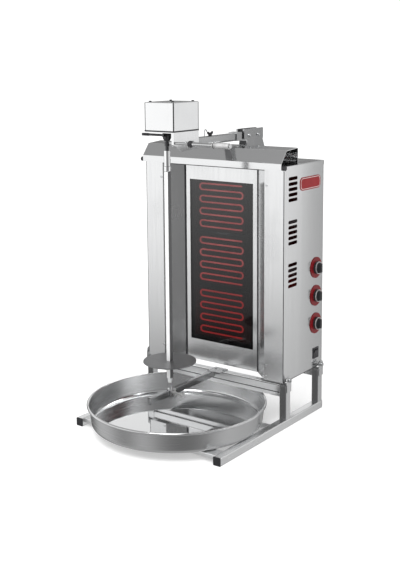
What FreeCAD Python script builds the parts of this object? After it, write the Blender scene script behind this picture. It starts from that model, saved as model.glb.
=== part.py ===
"""Electric skewer grill: an upright spit in front of a radiant heater cabinet.

Millimetres, +X right, +Y back, +Z up. The origin is on the floor in the middle of the footprint.
Every sub-part is a function that returns one shape, and NODES at the end names and writes them.
"""
import FreeCAD
import Part

import math
import os

V = FreeCAD.Vector

# ---- driving dimensions: footprint and frame -------------------------------------------------
frame_inset = 1.5            # rail's outer face inside the tray's rim, each side
rail_length = 570.0
rail_set_in = 16.0           # back of the cabinet to the back of the rails
tube = 25.0                  # square frame tube
tube_wall = 1.5
tube_corner = 2.5            # rounded outside edge of the square tube
leg_top_z = 135.0
leg_pitch = 197.0            # front leg to rear leg
cap_lip = 2.0                # plastic plug's visible lip
cap_depth = 12.0             # plug inside the tube
tray_bar_width = 40.0
tray_bar_height = 14.0
front_bar_set_in = 7.0       # rail front to front tray bar
rear_bar_set_back = 256.0    # rail front to rear tray bar
skirt_height = 14.0          # flat strip under the front cross tube
skirt_thickness = 3.0
skirt_recess = 3.0
ear_height = 28.0            # ear above the leg top
ear_overlap = 22.0           # ear below the leg top
ear_thickness = 3.0
ear_bolt_dia = 8.0
ear_bolt_rise = 15.0         # bolt above the leg top
bolt_head_dia = 13.0
nut_dia = 12.0
bolt_head_height = 5.5
ear_head_height = 8.5       # cap nut's height on the ear bolts

# ---- driving dimensions: cabinet -------------------------------------------------------------
sheet = 1.5
sheet_bend = 1.5             # inside radius of a fold
fold_edge = 3.0              # rounded outside edge of a folded cover
body_side_gap = 8.5          # rail's outer face to the cabinet's side
body_depth = 241.0
body_gap = 7.0               # leg top to cabinet bottom
body_height = 665.0
front_recess = 49.0          # flanges to centre panel
centre_width = 279.0
flange_width = 68.0
lid_lip = 14.0
panel_gap = 0.3              # between a cover's lip and the panel behind it
glass_width = 244.0          # visible window
window_sill = 69.0           # cabinet bottom to window
window_head = 66.0           # window to cabinet top
glass_thickness = 4.0
glass_lap = 9.0              # glass behind the panel on each side
retainer_width = 20.0
hood_set_forward = 16.0      # hood lip in front of the flanges
hood_lip_drop = 11.0         # lip's lower edge below the lid top
hood_lip_height = 20.0
hood_ridge_rise = 37.0       # sloped face
hood_ridge_run = 29.0
hood_top_run = 67.0
hood_top_rise = 5.0
hood_side_inset = 1.5        # cabinet's side to the end of the hood
hood_screw_dia = 14.5
hood_screw_length = 10.0
strap_width = 12.0
slot_length = 52.0           # louvre
slot_height = 10.5
slot_pitch = 16.2
slot_count = 5
slot_group_pitch = 132.0
slot_groups = 3
slot_from_front = 27.0
slot_top_drop = 40.0         # lid top to first louvre
screw_head_dia = 7.0
screw_head_height = 1.6
foot_screw_rise = 10.0         # cabinet bottom to the lowest flange screw
foot_screw_pitch = 35.0
top_screw_drop = 60.0          # cabinet top to the highest flange screw

# ---- driving dimensions: heaters and controls ------------------------------------------------
heater_lines = 8             # passes of one heater
heater_half_span = 73.0      # straight part of a pass, each way
heater_left_shift = 7.5      # middle of the window to the middle of a heater
heater_dia = 5.0
heater_tail = 6.5            # cold end beyond the straight part
heater_count = 3
heater_gap = 35.7            # between the end passes of two heaters
heater_low_gap = 25.5        # window sill to the lowest pass
heater_high_gap = 13.1       # highest pass to the top of the window
heater_behind = 5.0          # glass back to the heater's centre
board_width = 206.0
board_margin = 12.0          # board's edge beyond the end pass, above and below
board_depth = 24.0
knob_row_from_front = 195.0
knob_low_rise = 146.5        # cabinet bottom to lowest knob
knob_pitch = 90.3
knob_dia = 39.0
knob_height = 19.0
bezel_dia = 67.0
bezel_thickness = 2.5
spindle_dia = 6.0
regulator_size = 42.0
regulator_depth = 34.0
switch_width = 32.0
switch_height = 34.0
switch_rise = 48.0           # cabinet bottom to the switch's centre
switch_rest_angle = 7.0

gland_thread = 16.0
gland_hex = 22.0
gland_bore = 8.0
gland_nut_height = 5.0
gland_body_height = 6.0
gland_cap_height = 10.0
gland_from_side = 60.0
gland_from_back = 75.0
terminal_shift = 30.0          # gland's axis to the terminal block's near end
terminal_length = 60.0
terminal_width = 24.0
terminal_height = 20.0

# ---- driving dimensions: spit ----------------------------------------------------------------
spindle_gap = 222.0          # spit axis to the cabinet's flanges
bar_side = 14.0
neck_height = 14.0           # pivot cup to the skewer's square bar
head_clearance = 119.0       # top of the square bar to the drive head's plate
collar_dia = 21.0
collar_height = 16.5
chuck_dia = 19.5
chuck_height = 45.0
spigot_dia = 10.0
spigot_length = 14.0
pin_dia = 8.0
neck_dia = 13.0
cup_dia = 14.5
cup_rise = 22.0              # lower arm to the top of the pivot cup
pin_engagement = 11.0
disc_dia = 160.0
disc_thickness = 3.0
disc_rise = 51.0             # bottom of the square bar to the disc
disc_hub_dia = 30.0
disc_hub_height = 8.0

# ---- driving dimensions: tray ----------------------------------------------------------------
tray_dia = 550.0
tray_height = 67.0
tray_behind_spit = 33.0      # tray centre behind the spit axis
tray_flare = 5.5
tray_corner = 15.0
tray_rim_dia = 8.0
tray_sheet = 1.5

# ---- driving dimensions: lower arm -----------------------------------------------------------
lower_arm_width = 14.0
lower_arm_height = 20.0
lower_arm_wall = 2.0
lower_arm_corner = 2.0
lower_arm_reach = 98.0       # arm end in front of the spit axis
carriage_wall = 3.0
carriage_length = 24.0
thumb_screw_dia = 6.0
thumb_screw_length = 44.0
thumb_head_dia = 14.0
arm_plate_width = 47.0
arm_plate_thickness = 3.0

# ---- driving dimensions: upper arm and drive head --------------------------------------------
head_width = 106.0
head_depth = 120.0
head_height = 85.0
head_side_shift = 5.5        # head centre right of the spit axis
head_back_shift = 17.0       # head centre behind the spit axis
head_rise = 24.0             # arm's top to the top of the head's plate
base_thickness = 3.0
cheek_thickness = 8.0
cheek_depth = 54.0           # cheek below the base plate
cheek_front_depth = 33.0
cheek_run = 38.0
arm_width = 25.0
arm_height = 20.0
arm_wall = 2.0
arm_corner = 2.0
arm_rise = 86.0              # cabinet's top to the arm's top
arm_front = -10.0            # arm's front end behind the spit axis
arm_length = 317.0
arm_bolt_y = 14.0              # first cheek bolt behind the spit axis
arm_bolt_pitch = 34.0
collar_length = 28.0         # clamp collar on the arm's back end
clamp_wall = 3.5
retract_travel = 14.0        # gap between collar and bracket
slide_bar_inside = 220.0     # slide bar inside the arm
bracket_length = 110.0
bracket_wall = 3.0
bracket_height = 34.0
bracket_bolt_pitch = 53.0
bracket_bolt_dia = 8.0
pedestal_bottom_run = 118.0
pedestal_top_run = 90.0
pedestal_set_in = 4.0        # back of the cabinet to the pedestal
pedestal_wall = 3.0
pedestal_foot = 22.0
handle_rod_dia = 8.0
handle_y = -36.0             # handle rod behind the spit axis
handle_drop = 31.0           # head's plate to the handle rod
ball_dia = 20.0
ball_x = 113.0
ball_flat = 1.5              # ball's flattened side
handle_tube_dia = 12.5
grip_dia = 17.0
grip_x = 191.0
grip_length = 55.0
handle_nut_length = 4.0
lever_dia = 7.0
lever_length = 80.0
lever_pivot_x = 12.0
lever_y = -29.0
lever_drop = 10.0            # head's plate to the lift lever
lever_pin_dia = 4.0
lever_tip_dia = 8.5
lever_tip_length = 24.0
lever_eye_dia = 11.0
housing_dia = 25.0
housing_height = 18.0
housing_nose_dia = 16.5
housing_nose_height = 8.0
shaft_hub_dia = 14.5         # stop collar on the shaft above the raised chuck
shaft_hub_height = 11.0
shaft_dia = 10.0
bearing_dia = 19.0
bearing_width = 8.0
gear_module = 1.5
gear_teeth = 28
pinion_teeth = 12
gear_width = 8.0
gear_backlash = 0.35         # taken from each tooth's thickness
motor_shaft_dia = 6.0
motor_dia = 58.0
motor_height = 48.0
motor_flange = 62.0
motor_flange_thickness = 3.0
lock_screw_dia = 6.0
wing_knob_y = 162.0          # lock knob behind the spit axis
hook_y = 132.5               # hook behind the spit axis
hook_radius = 6.0
hook_stem = 14.0

# ---- clearances ------------------------------------------------------------------------------
running = 0.05               # radial, shaft in a bore
sliding = 0.3                # each side, a tube on a bar
hole_gap = 0.5               # each side, a part through a panel hole

# ---- places that follow from the sizes above -------------------------------------------------
frame_width = tray_dia - 2 * frame_inset
body_width = frame_width - 2 * body_side_gap
hood_width = body_width - 2 * hood_side_inset
footprint_depth = tray_dia / 2 - tray_behind_spit + spindle_gap + body_depth
body_rear_y = footprint_depth / 2
body_front_y = body_rear_y - body_depth
spit_y = body_front_y - spindle_gap
rail_rear_y = body_rear_y - rail_set_in
rail_front_y = rail_rear_y - rail_length
leg_rear_y = rail_rear_y - tube
leg_front_y = leg_rear_y - leg_pitch
body_bottom_z = leg_top_z + body_gap
body_top_z = body_bottom_z + body_height
lid_under_z = body_top_z - sheet
centre_y = body_front_y + front_recess
panel_x = body_width / 2 - sheet - panel_gap      # outer face of the side panels
rear_panel_y = body_rear_y - 2 * sheet - panel_gap   # front face of the back
rail_x = frame_width / 2
window_bottom_z = body_bottom_z + window_sill
window_top_z = body_top_z - window_head
heater_low_z = window_bottom_z + heater_low_gap
heater_room = window_top_z - heater_high_gap - heater_low_z - (heater_count - 1) * heater_gap
heater_height = heater_room / heater_count
heater_line_pitch = heater_height / (heater_lines - 1)
heater_pitch = heater_height + heater_gap
board_height = heater_height + 2 * board_margin
glass_y = centre_y + sheet
tray_y = spit_y + tray_behind_spit
tray_bottom_z = tube + sliding
tray_radius = tray_dia / 2
arm_top_z = body_top_z + arm_rise
head_bottom_z = arm_top_z + head_rise
handle_z = head_bottom_z - handle_drop
lever_z = head_bottom_z - lever_drop
cup_top_z = leg_top_z + cup_rise
bar_bottom_z = cup_top_z + neck_height
bar_top_z = head_bottom_z - head_clearance
disc_z = bar_bottom_z + disc_rise
chuck_bottom_z = bar_top_z + collar_height
chuck_top_z = chuck_bottom_z + chuck_height
chuck_lift = pin_engagement + 1.0
pin_bottom_z = cup_top_z - pin_engagement
cross_tube_y = leg_front_y
lower_arm_top_z = leg_top_z
lower_arm_bottom_z = lower_arm_top_z - lower_arm_height
head_y = spit_y + head_back_shift
base_z = head_bottom_z - base_thickness
housing_bottom_z = base_z - housing_height
arm_bottom_z = arm_top_z - arm_height
cheek_x = head_side_shift + head_width / 2 - cheek_thickness    # inner face of the cheek
arm_x = cheek_x - arm_width / 2
arm_front_y = spit_y + arm_front
arm_rear_y = arm_front_y + arm_length
clamp_rear_y = arm_rear_y + clamp_wall
bracket_front_y = clamp_rear_y + retract_travel
bracket_rear_y = bracket_front_y + bracket_length
bracket_floor_z = arm_bottom_z - bracket_wall - sliding
gear_distance = gear_module * (gear_teeth + pinion_teeth) / 2
gear_z = head_bottom_z + 4.0
motor_y = spit_y + gear_distance
motor_bottom_z = gear_z + gear_width + 3.0


# ---- helpers ---------------------------------------------------------------------------------
def block(x0, x1, y0, y1, z0, z1):
    """Box between two corners."""
    return Part.makeBox(x1 - x0, y1 - y0, z1 - z0, V(x0, y0, z0))


def rod_x(dia, x0, x1, y, z):
    """Round rod along X."""
    return Part.makeCylinder(dia / 2, x1 - x0, V(x0, y, z), V(1, 0, 0))


def rod_y(dia, y0, y1, x, z):
    """Round rod along Y."""
    return Part.makeCylinder(dia / 2, y1 - y0, V(x, y0, z), V(0, 1, 0))


def rod_z(dia, z0, z1, x, y):
    """Round rod along Z."""
    return Part.makeCylinder(dia / 2, z1 - z0, V(x, y, z0), V(0, 0, 1))


def prism(points, direction):
    """Polygon pushed along a direction."""
    return Part.Face(Part.makePolygon(points + [points[0]])).extrude(direction)


def bend_edges(points, radii):
    """Edges of an open polyline whose inner corners are rounded, one radius for each corner."""
    edges = []
    start = points[0]
    for here, onward, radius in zip(points[1:-1], points[2:], radii):
        before = (here - start).normalize()
        after = (onward - here).normalize()
        turn = before.getAngle(after)
        run = radius * math.tan(turn / 2)
        first = here - before * run
        last = here + after * run
        inward = (after - before).normalize()
        middle = here + inward * (radius / math.cos(turn / 2) - radius)
        edges.append(Part.makeLine(start, first))
        edges.append(Part.Arc(first, middle, last).toShape())
        start = last
    edges.append(Part.makeLine(start, points[-1]))
    return edges


def rounded_prism(points, radius, direction):
    """Closed polygon with rounded corners, pushed along a direction."""
    middle = (points[0] + points[-1]) * 0.5
    ring = [middle] + points + [middle]
    edges = bend_edges(ring, [radius] * len(points))
    return Part.Face(Part.Wire(edges)).extrude(direction).removeSplitter()


def rounded_bar_y(x0, x1, y0, y1, z0, z1, radius):
    """Bar along Y with four rounded long edges."""
    corners = [V(x0, y0, z0), V(x1, y0, z0), V(x1, y0, z1), V(x0, y0, z1)]
    return rounded_prism(corners, radius, V(0, y1 - y0, 0))


def rounded_bar_x(x0, x1, y0, y1, z0, z1, radius):
    """Bar along X with four rounded long edges."""
    corners = [V(x0, y0, z0), V(x0, y1, z0), V(x0, y1, z1), V(x0, y0, z1)]
    return rounded_prism(corners, radius, V(x1 - x0, 0, 0))


def rounded_bar_z(x0, x1, y0, y1, z0, z1, radius):
    """Bar along Z with four rounded long edges."""
    corners = [V(x0, y0, z0), V(x1, y0, z0), V(x1, y1, z0), V(x0, y1, z0)]
    return rounded_prism(corners, radius, V(0, 0, z1 - z0))


def square_tube_y(x0, x1, y0, y1, z0, z1, wall, corner):
    """Hollow rectangular tube along Y, open at both ends."""
    core = block(x0 + wall, x1 - wall, y0 - 1, y1 + 1, z0 + wall, z1 - wall)
    return rounded_bar_y(x0, x1, y0, y1, z0, z1, corner).cut(core)


def square_tube_x(x0, x1, y0, y1, z0, z1, wall, corner):
    """Hollow rectangular tube along X, open at both ends."""
    core = block(x0 - 1, x1 + 1, y0 + wall, y1 - wall, z0 + wall, z1 - wall)
    return rounded_bar_x(x0, x1, y0, y1, z0, z1, corner).cut(core)


def offset_line(points, distance):
    """Open polyline of (a, b) pairs moved to its right by a distance, with mitred corners."""
    moved = []
    for i, (a, b) in enumerate(points):
        normals = []
        for j in (i - 1, i):
            if 0 <= j < len(points) - 1:
                da = points[j + 1][0] - points[j][0]
                db = points[j + 1][1] - points[j][1]
                length = math.hypot(da, db)
                normals.append((db / length, -da / length))
        na = sum(n[0] for n in normals) / len(normals)
        nb = sum(n[1] for n in normals) / len(normals)
        scale = distance / (na * na + nb * nb)
        moved.append((a + na * scale, b + nb * scale))
    return moved


def bent_sheet(line, place, direction):
    """Folded sheet: a strip to the right of a line of (a, b) pairs, pushed along a direction."""
    turns = []
    for (a0, b0), (a1, b1), (a2, b2) in zip(line, line[1:], line[2:]):
        turns.append((a1 - a0) * (b2 - b1) - (b1 - b0) * (a2 - a1))
    face_radii = [sheet_bend + sheet if turn < 0 else sheet_bend for turn in turns]
    back_radii = [sheet_bend if turn < 0 else sheet_bend + sheet for turn in turns]
    face_points = [place(a, b) for a, b in line]
    back_points = [place(a, b) for a, b in offset_line(line, sheet)][::-1]
    edges = bend_edges(face_points, face_radii)
    edges.append(Part.makeLine(face_points[-1], back_points[0]))
    edges += bend_edges(back_points, back_radii[::-1])
    edges.append(Part.makeLine(back_points[-1], face_points[0]))
    return Part.Face(Part.Wire(edges)).extrude(direction)


def mirrored(shape):
    """The same piece on the other side of the middle plane."""
    return shape.mirror(V(0, 0, 0), V(1, 0, 0))


def group(shapes):
    """Several separate solids of one kind in one node."""
    return Part.makeCompound(shapes)


def both_sides(shapes):
    """A group with its mirror image."""
    return group(shapes + [mirrored(shape) for shape in shapes])


def revolve_z(points, x, y):
    """Closed radius-height polygon turned about a vertical axis."""
    face = Part.Face(Part.makePolygon([V(r, 0, z) for r, z in points + [points[0]]]))
    solid = face.revolve(V(0, 0, 0), V(0, 0, 1), 360)
    solid.translate(V(x, y, 0))
    return solid


# ---- base frame ------------------------------------------------------------------------------
def floor_rail():
    """Right floor rail."""
    return square_tube_y(rail_x - tube, rail_x, rail_front_y, rail_rear_y, 0, tube, tube_wall, tube_corner)


def leg(y0):
    """Right leg whose front face is at y0: a tube on the rail, closed at its top."""
    outer = rounded_bar_z(rail_x - tube, rail_x, y0, y0 + tube, tube, leg_top_z, tube_corner)
    w = tube_wall
    return outer.cut(block(rail_x - tube + w, rail_x - w, y0 + w, y0 + tube - w, tube - 1, leg_top_z - w))


def cross_tube(y0):
    """Tube between the two legs at the cabinet's foot."""
    half = rail_x - tube
    low = leg_top_z - tube
    return square_tube_x(-half, half, y0, y0 + tube, low, leg_top_z, tube_wall, tube_corner)


def tray_bar(y0):
    """Flat tube between the rails that the drip tray stands on."""
    half = rail_x - tube
    low = tube - tray_bar_height
    return square_tube_x(-half, half, y0, y0 + tray_bar_width, low, tube, tube_wall, tube_corner)


def front_skirt():
    """Flat strip welded under the front cross tube."""
    half = rail_x - tube
    y0 = cross_tube_y + skirt_recess
    top = leg_top_z - tube
    return block(-half, half, y0, y0 + skirt_thickness, top - skirt_height, top)


def floor_rails():
    """Both floor rails."""
    return both_sides([floor_rail()])


def legs():
    """All four legs."""
    return both_sides([leg(leg_front_y), leg(leg_rear_y)])


def cross_members():
    """Two cross tubes, the skirt strip under the front one and the two bars under the tray."""
    return group([cross_tube(leg_front_y), cross_tube(leg_rear_y), front_skirt(),
                  tray_bar(rail_front_y + front_bar_set_in), tray_bar(rail_front_y + rear_bar_set_back)])


def rail_end_caps():
    """Plastic plugs in the four rail ends."""
    bore = tube - 2 * tube_wall
    x0 = rail_x - tube
    inner = x0 + tube_wall
    caps = []
    for end, out in ((rail_front_y, -1), (rail_rear_y, 1)):
        lip = rounded_bar_y(x0, rail_x, min(end, end + out * cap_lip), max(end, end + out * cap_lip),
                            0, tube, tube_corner)
        plug = block(inner, inner + bore, min(end, end - out * cap_depth),
                     max(end, end - out * cap_depth), tube_wall, tube_wall + bore)
        caps.append(lip.fuse(plug).removeSplitter())
    return both_sides(caps)


def ear_place(y0):
    """Centre of an ear bolt on the leg at y0: (y, z)."""
    return y0 + tube / 2, leg_top_z + ear_bolt_rise


def leg_ears():
    """Round-topped plates on the legs, each with a boss that spaces the cabinet off the leg."""
    ears = []
    for y0 in (leg_front_y, leg_rear_y):
        yc, zc = ear_place(y0)
        top = leg_top_z + ear_height
        round_z = top - tube / 2
        plate = block(rail_x, rail_x + ear_thickness, y0, y0 + tube, leg_top_z - ear_overlap, round_z)
        plate = plate.fuse(rod_x(tube, rail_x, rail_x + ear_thickness, yc, round_z)).removeSplitter()
        boss = rod_x(bolt_head_dia, panel_x, rail_x, yc, zc)
        ear = plate.fuse(boss).removeSplitter()
        ears.append(ear.cut(rod_x(ear_bolt_dia, panel_x - 1, rail_x + ear_thickness + 1, yc, zc)))
    return both_sides(ears)


def dome_head(x, y, z, dia, height):
    """Domed bolt head that stands out along +X."""
    radius = (dia * dia / 4 + height * height) / (2 * height)
    ball = Part.makeSphere(radius, V(x + height - radius, y, z))
    return ball.common(rod_x(dia, x, x + height, y, z))


def ear_bolts():
    """Domed bolts through ears and side panels, with nuts inside."""
    bolts = []
    face = rail_x + ear_thickness
    inner = panel_x - sheet
    for y0 in (leg_front_y, leg_rear_y):
        yc, zc = ear_place(y0)
        shank = rod_x(ear_bolt_dia, inner - 8, face, yc, zc)
        nut = rod_x(nut_dia, inner - 6, inner, yc, zc)
        head = dome_head(face, yc, zc, bolt_head_dia, ear_head_height)
        bolts.append(shank.fuse([head, nut]).removeSplitter())
    return both_sides(bolts)


# ---- cabinet ---------------------------------------------------------------------------------
def front_line():
    """Cabinet front from left to right: (x, y)."""
    half_centre = centre_width / 2
    fold = panel_x - flange_width
    return [(-panel_x, body_front_y), (-fold, body_front_y), (-half_centre, centre_y),
            (half_centre, centre_y), (fold, body_front_y), (panel_x, body_front_y)]


def front_shell():
    """Folded front: two flanges, two splayed wings and the centre panel with its window."""
    height = V(0, 0, lid_under_z - body_bottom_z)
    shell = bent_sheet(front_line()[::-1], lambda x, y: V(x, y, body_bottom_z), height)
    half = glass_width / 2
    window = block(-half, half, centre_y - 5, centre_y + 5, window_bottom_z, window_top_z)
    return shell.cut(window)


def flange_screw_places():
    """Screws near the foot and head of each flange: (x, z) on the right side."""
    x = panel_x - flange_width + 6
    return [(x, body_bottom_z + z) for z in (foot_screw_rise, foot_screw_rise + foot_screw_pitch)] + [
        (x, body_top_z - top_screw_drop)]


def flange_screws():
    """Small raised screws on the front flanges."""
    heads = [rod_y(screw_head_dia, body_front_y - screw_head_height, body_front_y, x, z)
             for x, z in flange_screw_places()]
    return heads + [mirrored(head) for head in heads]


def side_openings(drop_controls):
    """Louvres, and on the control side the knob and switch holes, as cutting solids."""
    x0 = panel_x - sheet - 2
    x1 = panel_x + 2
    y0 = body_front_y + slot_from_front
    cuts = []
    end = slot_height / 2
    for g in range(slot_groups):
        for i in range(slot_count):
            z = body_top_z - slot_top_drop - g * slot_group_pitch - i * slot_pitch
            bar = block(x0, x1, y0 + end, y0 + slot_length - end, z - end, z + end)
            cuts.append(bar.fuse([rod_x(slot_height, x0, x1, y0 + end, z),
                                  rod_x(slot_height, x0, x1, y0 + slot_length - end, z)]))
    if not drop_controls:
        for y, z in knob_places():
            cuts.append(rod_x(spindle_dia + 2 * hole_gap, x0, x1, y, z))
        y, z = switch_place()
        half_y = switch_width / 2 - 3 + hole_gap
        half_z = switch_height / 2 - 3 + hole_gap
        cuts.append(block(x0, x1, y - half_y, y + half_y, z - half_z, z + half_z))
    for leg_y in (leg_front_y, leg_rear_y):
        y, z = ear_place(leg_y)
        cuts.append(rod_x(ear_bolt_dia, x0, x1, y, z))
    return cuts


def side_panel(plain):
    """Right side panel; the plain one has louvres only."""
    panel = block(panel_x - sheet, panel_x, body_front_y + sheet, rear_panel_y,
                  body_bottom_z, lid_under_z)
    return panel.cut(side_openings(plain))


def rear_panel():
    """Flat back of the cabinet, under the lid's back lip."""
    return block(-panel_x, panel_x, rear_panel_y, rear_panel_y + sheet, body_bottom_z, lid_under_z)


def bottom_panel():
    """Floor of the cabinet between the panels, with the gland hole."""
    inner = panel_x - sheet
    behind = offset_line(front_line(), -sheet - panel_gap)
    front = [V(max(-inner, min(inner, x)), y, body_bottom_z) for x, y in behind]
    outline = front + [V(inner, rear_panel_y, body_bottom_z), V(-inner, rear_panel_y, body_bottom_z)]
    panel = prism(outline, V(0, 0, sheet))
    x, y = gland_place()
    return panel.cut(rod_z(gland_thread, body_bottom_z - 1, body_bottom_z + sheet + 1, x, y))


def cover_edges(box, open_y=None):
    """Upright and top edges of a box-shaped cover, without those on an open front."""
    edges = []
    bottom = box.BoundBox.ZMin
    for edge in box.Edges:
        bounds = edge.BoundBox
        on_front = open_y is not None and bounds.YMax < open_y + 1
        if bounds.ZMax > bottom + 1 and not on_front:
            edges.append(edge)
    return edges


def top_lid():
    """Lid with a folded lip on its sides and back."""
    half = body_width / 2
    outer = block(-half, half, body_front_y, body_rear_y, body_top_z - lid_lip, body_top_z)
    outer = outer.makeFillet(fold_edge, cover_edges(outer, body_front_y))
    hollow = block(-half + sheet, half - sheet, body_front_y - 1, body_rear_y - sheet,
                   body_top_z - lid_lip - 1, lid_under_z)
    return outer.cut(hollow)


def gland_place():
    """Centre of the cable gland in the cabinet floor."""
    return panel_x - gland_from_side, body_rear_y - gland_from_back


def gland_bottom_z():
    """Lower end of the gland's cap."""
    return body_bottom_z - gland_body_height - gland_cap_height


def gland_top_z():
    """Top of the gland's nut inside the cabinet."""
    return body_bottom_z + sheet + gland_nut_height


def hexagon(across, x, y, z0, z1):
    """Upright hexagonal bar."""
    r = across / math.sqrt(3)
    points = [V(x + r * math.cos(math.radians(60 * i)), y + r * math.sin(math.radians(60 * i)), z0)
              for i in range(6)]
    return prism(points, V(0, 0, z1 - z0))


def cable_gland():
    """Plastic gland in the cabinet floor where the mains cable enters."""
    x, y = gland_place()
    low = body_bottom_z - gland_body_height
    top = body_bottom_z + sheet
    body = hexagon(gland_hex, x, y, low, body_bottom_z)
    body = body.fuse([rod_z(gland_thread, body_bottom_z, top, x, y),
                      hexagon(gland_hex, x, y, top, gland_top_z()),
                      rod_z(gland_hex - 3, gland_bottom_z(), low, x, y)])
    return body.removeSplitter().cut(rod_z(gland_bore, gland_bottom_z() - 1, gland_top_z() + 1, x, y))


def hood_line():
    """Outer section of the heat hood, from the front lip to the back flange: (y, z)."""
    y0 = body_front_y - hood_set_forward
    z0 = body_top_z - hood_lip_drop
    z1 = z0 + hood_lip_height
    return [(y0, z0), (y0, z1), (y0 + hood_ridge_run, z1 + hood_ridge_rise),
            (y0 + hood_ridge_run + hood_top_run, z1 + hood_ridge_rise + hood_top_rise),
            (y0 + hood_ridge_run + hood_top_run, body_top_z + sheet),
            (y0 + hood_ridge_run + hood_top_run + 14.0, body_top_z + sheet)]


def hood():
    """Open-ended folded channel over the cabinet front, with a strap at each end of its lip."""
    half = hood_width / 2
    channel = bent_sheet(hood_line(), lambda y, z: V(-half, y, z), V(hood_width, 0, 0))
    y0 = body_front_y - hood_set_forward + sheet
    z0 = body_top_z - hood_lip_drop + 1
    strap = block(half - 2 - strap_width, half - 2, y0, body_front_y, z0, z0 + 8)
    return channel.fuse([strap, mirrored(strap)]).removeSplitter()


def hood_thumb_screws():
    """Black knurled screws at the hood's two ends."""
    y = body_front_y - hood_set_forward + sheet + 6.5
    z = body_top_z - hood_lip_drop + 7
    x0 = hood_width / 2 - 2
    screw = rod_x(3.0, x0, x0 + 4, y, z)
    head = rod_x(hood_screw_dia, x0 + 2.5, x0 + 2.5 + hood_screw_length, y, z)
    return both_sides([screw.fuse(head).removeSplitter()])


# ---- window and heaters ----------------------------------------------------------------------
def glass_pane():
    """Ceramic glass behind the window."""
    half = glass_width / 2 + glass_lap
    return block(-half, half, glass_y, glass_y + glass_thickness,
                 window_bottom_z - glass_lap, window_top_z + glass_lap)


def glass_retainer():
    """Folded frame that holds the glass against the centre panel."""
    half = glass_width / 2 + glass_lap
    low = window_bottom_z - glass_lap
    high = window_top_z + glass_lap
    edge = retainer_width - glass_lap - 1
    back = glass_y + glass_thickness
    outer = block(-half - edge, half + edge, glass_y, back + sheet, low - edge, high + edge)
    seat = block(-half, half, glass_y - 1, back, low, high)
    view = block(-half + 6, half - 6, glass_y - 1, back + 5, low + 6, high - 6)
    return outer.cut(seat).cut(view)


def heater_low(index):
    """Height of the lowest pass of a heater."""
    return heater_low_z + index * heater_pitch


def heater_y():
    """Depth of the heaters' centre plane."""
    return glass_y + glass_thickness + sheet + heater_behind


def radiant_heater(index):
    """Serpentine tube with both ends at the right."""
    y = heater_y()
    z0 = heater_low(index)
    s = heater_half_span
    r = heater_line_pitch / 2
    middle = -heater_left_shift
    edges = []
    for i in range(heater_lines):
        z = z0 + i * heater_line_pitch
        right = middle + s + (heater_tail if i in (0, heater_lines - 1) else 0)
        left = middle - s
        ends = (V(right, y, z), V(left, y, z)) if i % 2 == 0 else (V(left, y, z), V(right, y, z))
        edges.append(Part.makeLine(*ends))
        if i < heater_lines - 1:
            side = -1 if i % 2 == 0 else 1
            x = middle + side * s
            bend = Part.Arc(V(x, y, z), V(x + side * r, y, z + r), V(x, y, z + 2 * r))
            edges.append(bend.toShape())
    path = Part.Wire(edges)
    start = edges[0].Vertexes[0].Point
    ring = Part.Wire(Part.makeCircle(heater_dia / 2, start, V(1, 0, 0)))
    return path.makePipeShell([ring], True, False)


def heater_board(index):
    """Insulating board with a pocket that holds one heater."""
    middle = heater_low(index) + heater_height / 2
    y0 = glass_y + glass_thickness + sheet
    left = -heater_left_shift - board_width / 2
    right = -heater_left_shift + board_width / 2
    z0 = middle - board_height / 2
    floor_y = heater_y() + heater_dia / 2
    board = block(left, right, y0, y0 + board_depth, z0, z0 + board_height)
    pocket = block(left + 6, right - 6, y0 - 1, floor_y, z0 + 4, z0 + board_height - 4)
    return board.cut(pocket)


def radiant_heaters():
    """The three heaters."""
    return group([radiant_heater(i) for i in range(heater_count)])


def heater_boards():
    """The three insulating boards, fixed to the back of the glass retainer."""
    return group([heater_board(i) for i in range(heater_count)])


# ---- controls --------------------------------------------------------------------------------
def knob_places():
    """Centres of the three knobs, lowest first: (y, z)."""
    y = body_front_y + knob_row_from_front
    return [(y, body_bottom_z + knob_low_rise + i * knob_pitch) for i in range(3)]


def switch_place():
    """Centre of the rocker switch: (y, z)."""
    return body_front_y + knob_row_from_front + 3, body_bottom_z + switch_rise


def knob_bezels():
    """Round scale plates behind the knobs."""
    rings = []
    for y, z in knob_places():
        ring = rod_x(bezel_dia, panel_x, panel_x + bezel_thickness, y, z)
        rings.append(ring.cut(rod_x(spindle_dia + 2 * hole_gap, panel_x - 1, panel_x + 9, y, z)))
    return group(rings)


def control_knob(index):
    """Knob with a raised grip bar, on its regulator spindle."""
    y, z = knob_places()[index]
    x0 = panel_x + bezel_thickness + sliding
    skirt = rod_x(knob_dia, x0, x0 + knob_height * 0.42, y, z)
    cone = Part.makeCone(knob_dia / 2 - 2, knob_dia / 2 - 5, knob_height * 0.58,
                         V(x0 + knob_height * 0.42, y, z), V(1, 0, 0))
    body = skirt.fuse(cone)
    grip_half = 5.5
    for side in (-1, 1):
        near = min(side * grip_half, side * knob_dia)
        far = max(side * grip_half, side * knob_dia)
        body = body.cut(block(x0 + knob_height * 0.5, x0 + knob_height + 1, y + near, y + far,
                              z - knob_dia, z + knob_dia))
    spindle = rod_x(spindle_dia, panel_x - sheet - 8, x0, y, z)
    return body.fuse(spindle).removeSplitter()


def regulator(index):
    """Energy regulator behind the side panel, bored for its spindle."""
    y, z = knob_places()[index]
    x1 = panel_x - sheet
    h = regulator_size / 2
    body = block(x1 - regulator_depth, x1, y - h, y + h, z - h, z + h)
    for dy in (-10, 0, 10):
        tab = block(x1 - regulator_depth - 8, x1 - regulator_depth, y + dy - 3, y + dy + 3, z - 4, z + 4)
        body = body.fuse(tab)
    return body.removeSplitter().cut(rod_x(spindle_dia + 2 * running, x1 - 9, x1 + 1, y, z))


def regulators():
    """The three energy regulators."""
    return group([regulator(i) for i in range(3)])


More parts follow.
